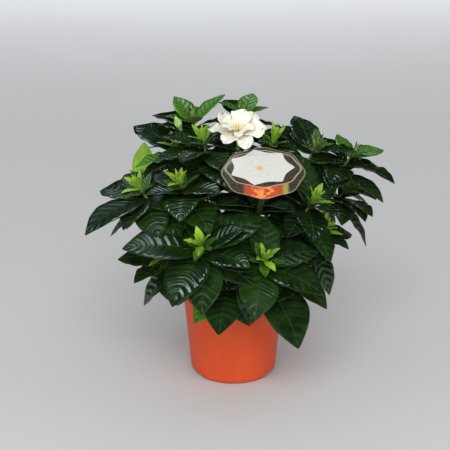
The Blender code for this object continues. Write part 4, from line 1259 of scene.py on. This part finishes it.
def labelFinish():
    look = labelPrint
    made = Finish("printedCard", look["gloss"], look["varnish"])
    x, y, _ = made.onMap("print")
    flat = made.node("ShaderNodeCombineXYZ", {}, {0: x, 1: y, 2: 0.0})
    mottle = made.noise(flat, 0.35, 4.0, 0.6)
    fine = made.noise(flat, 2.2, 2.0)

    def polar(alongX, alongY):
        away = made.maths("SQRT", alongX * alongX + alongY * alongY)
        return away, made.maths("ARCTAN2", alongY, alongX)

    def scalloped(alongX, alongY):
        reach, turn = polar(alongX, alongY)
        return reach / (1.0 - 0.055 * (0.5 - 0.5 * made.maths("COSINE", turn * float(label["scallops"]))))

    def near(value, low, high):
        return 1.0 - made.rise(made.maths("ABSOLUTE", value), low, high)

    inward = scalloped(x / (label["width"] * 500.0), y / (label["height"] * 500.0))
    lineX, lineY = look["lineAt"]
    halfX, halfY = look["lineHalf"]
    ofLine = scalloped((x - lineX) / halfX, (y - lineY) / halfY)
    colour = made.blend(made.rise(mottle * 0.6 + fine * 0.4, 0.40, 0.65), look["olive"], look["oliveLight"])

    below = made.rise(ofLine, 1.0, 1.04) * made.rise(0.0 - y, 8.0, 14.0)
    streak = made.noise(made.stretch(flat, (0.5, 0.8, 1.0)), 0.28, 2.0)
    band = made.blend(made.rise(streak, 0.40, 0.60), look["orangeDeep"], look["orange"])
    start, end = look["bandEnds"]
    colour = made.blend(below * near(x - end, 2.0, 6.0), colour, look["moss"])
    colour = made.blend(below * near(x, end - 4.0, end), colour, look["orangeDeep"])
    colour = made.blend(below * near(x, start - 6.0, start + 2.0), colour, band)
    onLine = near(ofLine - 1.0, look["lineWidth"] * 0.5, look["lineWidth"] * 1.6)
    colour = made.blend(onLine * 0.75, colour, look["line"])
    colour = made.blend(made.rise(inward, 0.955, 0.985) * 0.45, colour, look["line"])

    panelX, panelY = look["panelAt"]
    halfX, halfY = look["panelHalf"]
    reach, turn = polar((x - panelX) / halfX, (y - panelY) / halfY)
    count, wave = look["panelWaves"]
    panelEdge = 1.08 - wave * made.maths("ABSOLUTE", made.maths("SINE", turn * (count / 2)))
    onPanel = 1.0 - made.rise(reach / panelEdge, 0.985, 1.015)
    heartX, heartY = look["heartAt"]
    away, spin = polar(x - heartX, (y - heartY) * 1.25)
    fold = made.maths("ABSOLUTE", made.maths("SINE", spin * 3.0 + away * 0.16))
    petals = (1.0 - made.rise(fold, 0.03, 0.26)) * made.rise(away, 3.0, 7.0)
    petals = petals * (1.0 - made.rise(away, 13.0, 19.0))
    ring = near(away - 11.0 - fold * 4.0, 0.2, 0.9)
    paper = made.blend((petals * 0.45 + ring * 0.25) * (0.4 + fine), look["panel"], look["petalLine"])
    paper = made.blend((1.0 - made.rise(away, 1.0, 6.5)) * 0.9, paper, look["ochre"])
    ripple = y - made.maths("SINE", x * 0.85) * 0.9 - look["dashAt"]
    paper = made.blend(near(ripple, 0.5, 1.0) * near(x - panelX, 15.0, 18.0) * 0.8, paper, look["teal"])
    colour = made.blend(onPanel, colour, paper)
    roughness = look["roughness"] + fine * 0.08 + (1.0 - onPanel) * 0.06
    return made.done(colour, roughness, fine * 0.5 + onPanel * 0.5, look["relief"])


def addCard():
    bm = bmesh.new()
    prints = bm.loops.layers.uv.new("print")
    bmesh.ops.create_circle(bm, cap_ends=True, segments=label["corners"], radius=1.0)
    for vert in bm.verts:
        around = math.atan2(vert.co.y, vert.co.x)
        dip = label["dip"] * (0.5 - 0.5 * math.cos(label["scallops"] * around))
        vert.co.x *= label["width"] / 2 - dip
        vert.co.y *= label["height"] / 2 - dip
        vert.co.z = label["thickness"] / 2
    made = bmesh.ops.extrude_face_region(bm, geom=bm.faces[:])
    moved = [item for item in made["geom"] if isinstance(item, bmesh.types.BMVert)]
    bmesh.ops.translate(bm, verts=moved, vec=(0.0, 0.0, -label["thickness"]))
    faceOutwards(bm)
    rims = [edge for edge in bm.edges if edgeRise(edge) < 0.00001]  # the level ones
    bmesh.ops.bevel(bm, geom=rims, offset=label["edge"], affect="EDGES", segments=2, profile=0.5,
                    material=-1)
    for face in bm.faces:
        for loop in face.loops:
            loop[prints].uv = (loop.vert.co.x * 1000.0, loop.vert.co.y * 1000.0)
    bmesh.ops.triangulate(bm, faces=[face for face in bm.faces if len(face.verts) > 4])
    bm.transform(labelFrame())
    card = addPiece("labelCard", inOrder(bm), "label_card", "card", labelFinish())
    sharpen(card, 35.0)


def addStake():
    behind = -(label["thickness"] / 2 + fit + label["rib"] + label["stakeThickness"] / 2)
    lap = [labelFrame() @ Vector((0.0, along, behind)) for along in label["lap"]]
    route = [lap[0].lerp(lap[1], i / label["lapSteps"]) for i in range(label["lapSteps"])]
    route += rounded([lap[1]] + [Vector(point) for point in label["route"]], label["bendSteps"])
    bm = bmesh.new()
    last = len(route) - 1
    bmesh.ops.create_grid(bm, x_segments=last, y_segments=6, size=0.5)
    for vert in bm.verts:
        i = round((vert.co.x + 0.5) * last)
        run = (route[min(i + 1, last)] - route[max(i - 1, 0)]).normalized()
        front = run.cross(Vector((1.0, 0.0, 0.0))).normalized()
        width = label["stakeWidth"] * (1.0 - label["stakePoint"] * smooth(i / last, 0.93, 1.0))
        rib = label["rib"] * (1.0 - smooth(abs(vert.co.y), *label["ribEdges"]))
        sideways = Vector((vert.co.y * width, 0.0, 0.0))
        vert.co = route[i] + sideways + front * (label["stakeThickness"] / 2 + rib)
    bm.normal_update()
    bmesh.ops.solidify(bm, geom=bm.faces[:], thickness=label["stakeThickness"])
    faceOutwards(bm)
    stake = addPiece("labelStake", bm, "label_stake", "stake", sapFinish("stakePlastic"))
    softEdge = stake.modifiers.new("Rounded", "BEVEL")
    softEdge.width = label["edge"]
    softEdge.segments = 2
    softEdge.angle_limit = math.radians(50)
    print("label is planted")


addStems()
addFlower()
addBud()
addCard()
addStake()
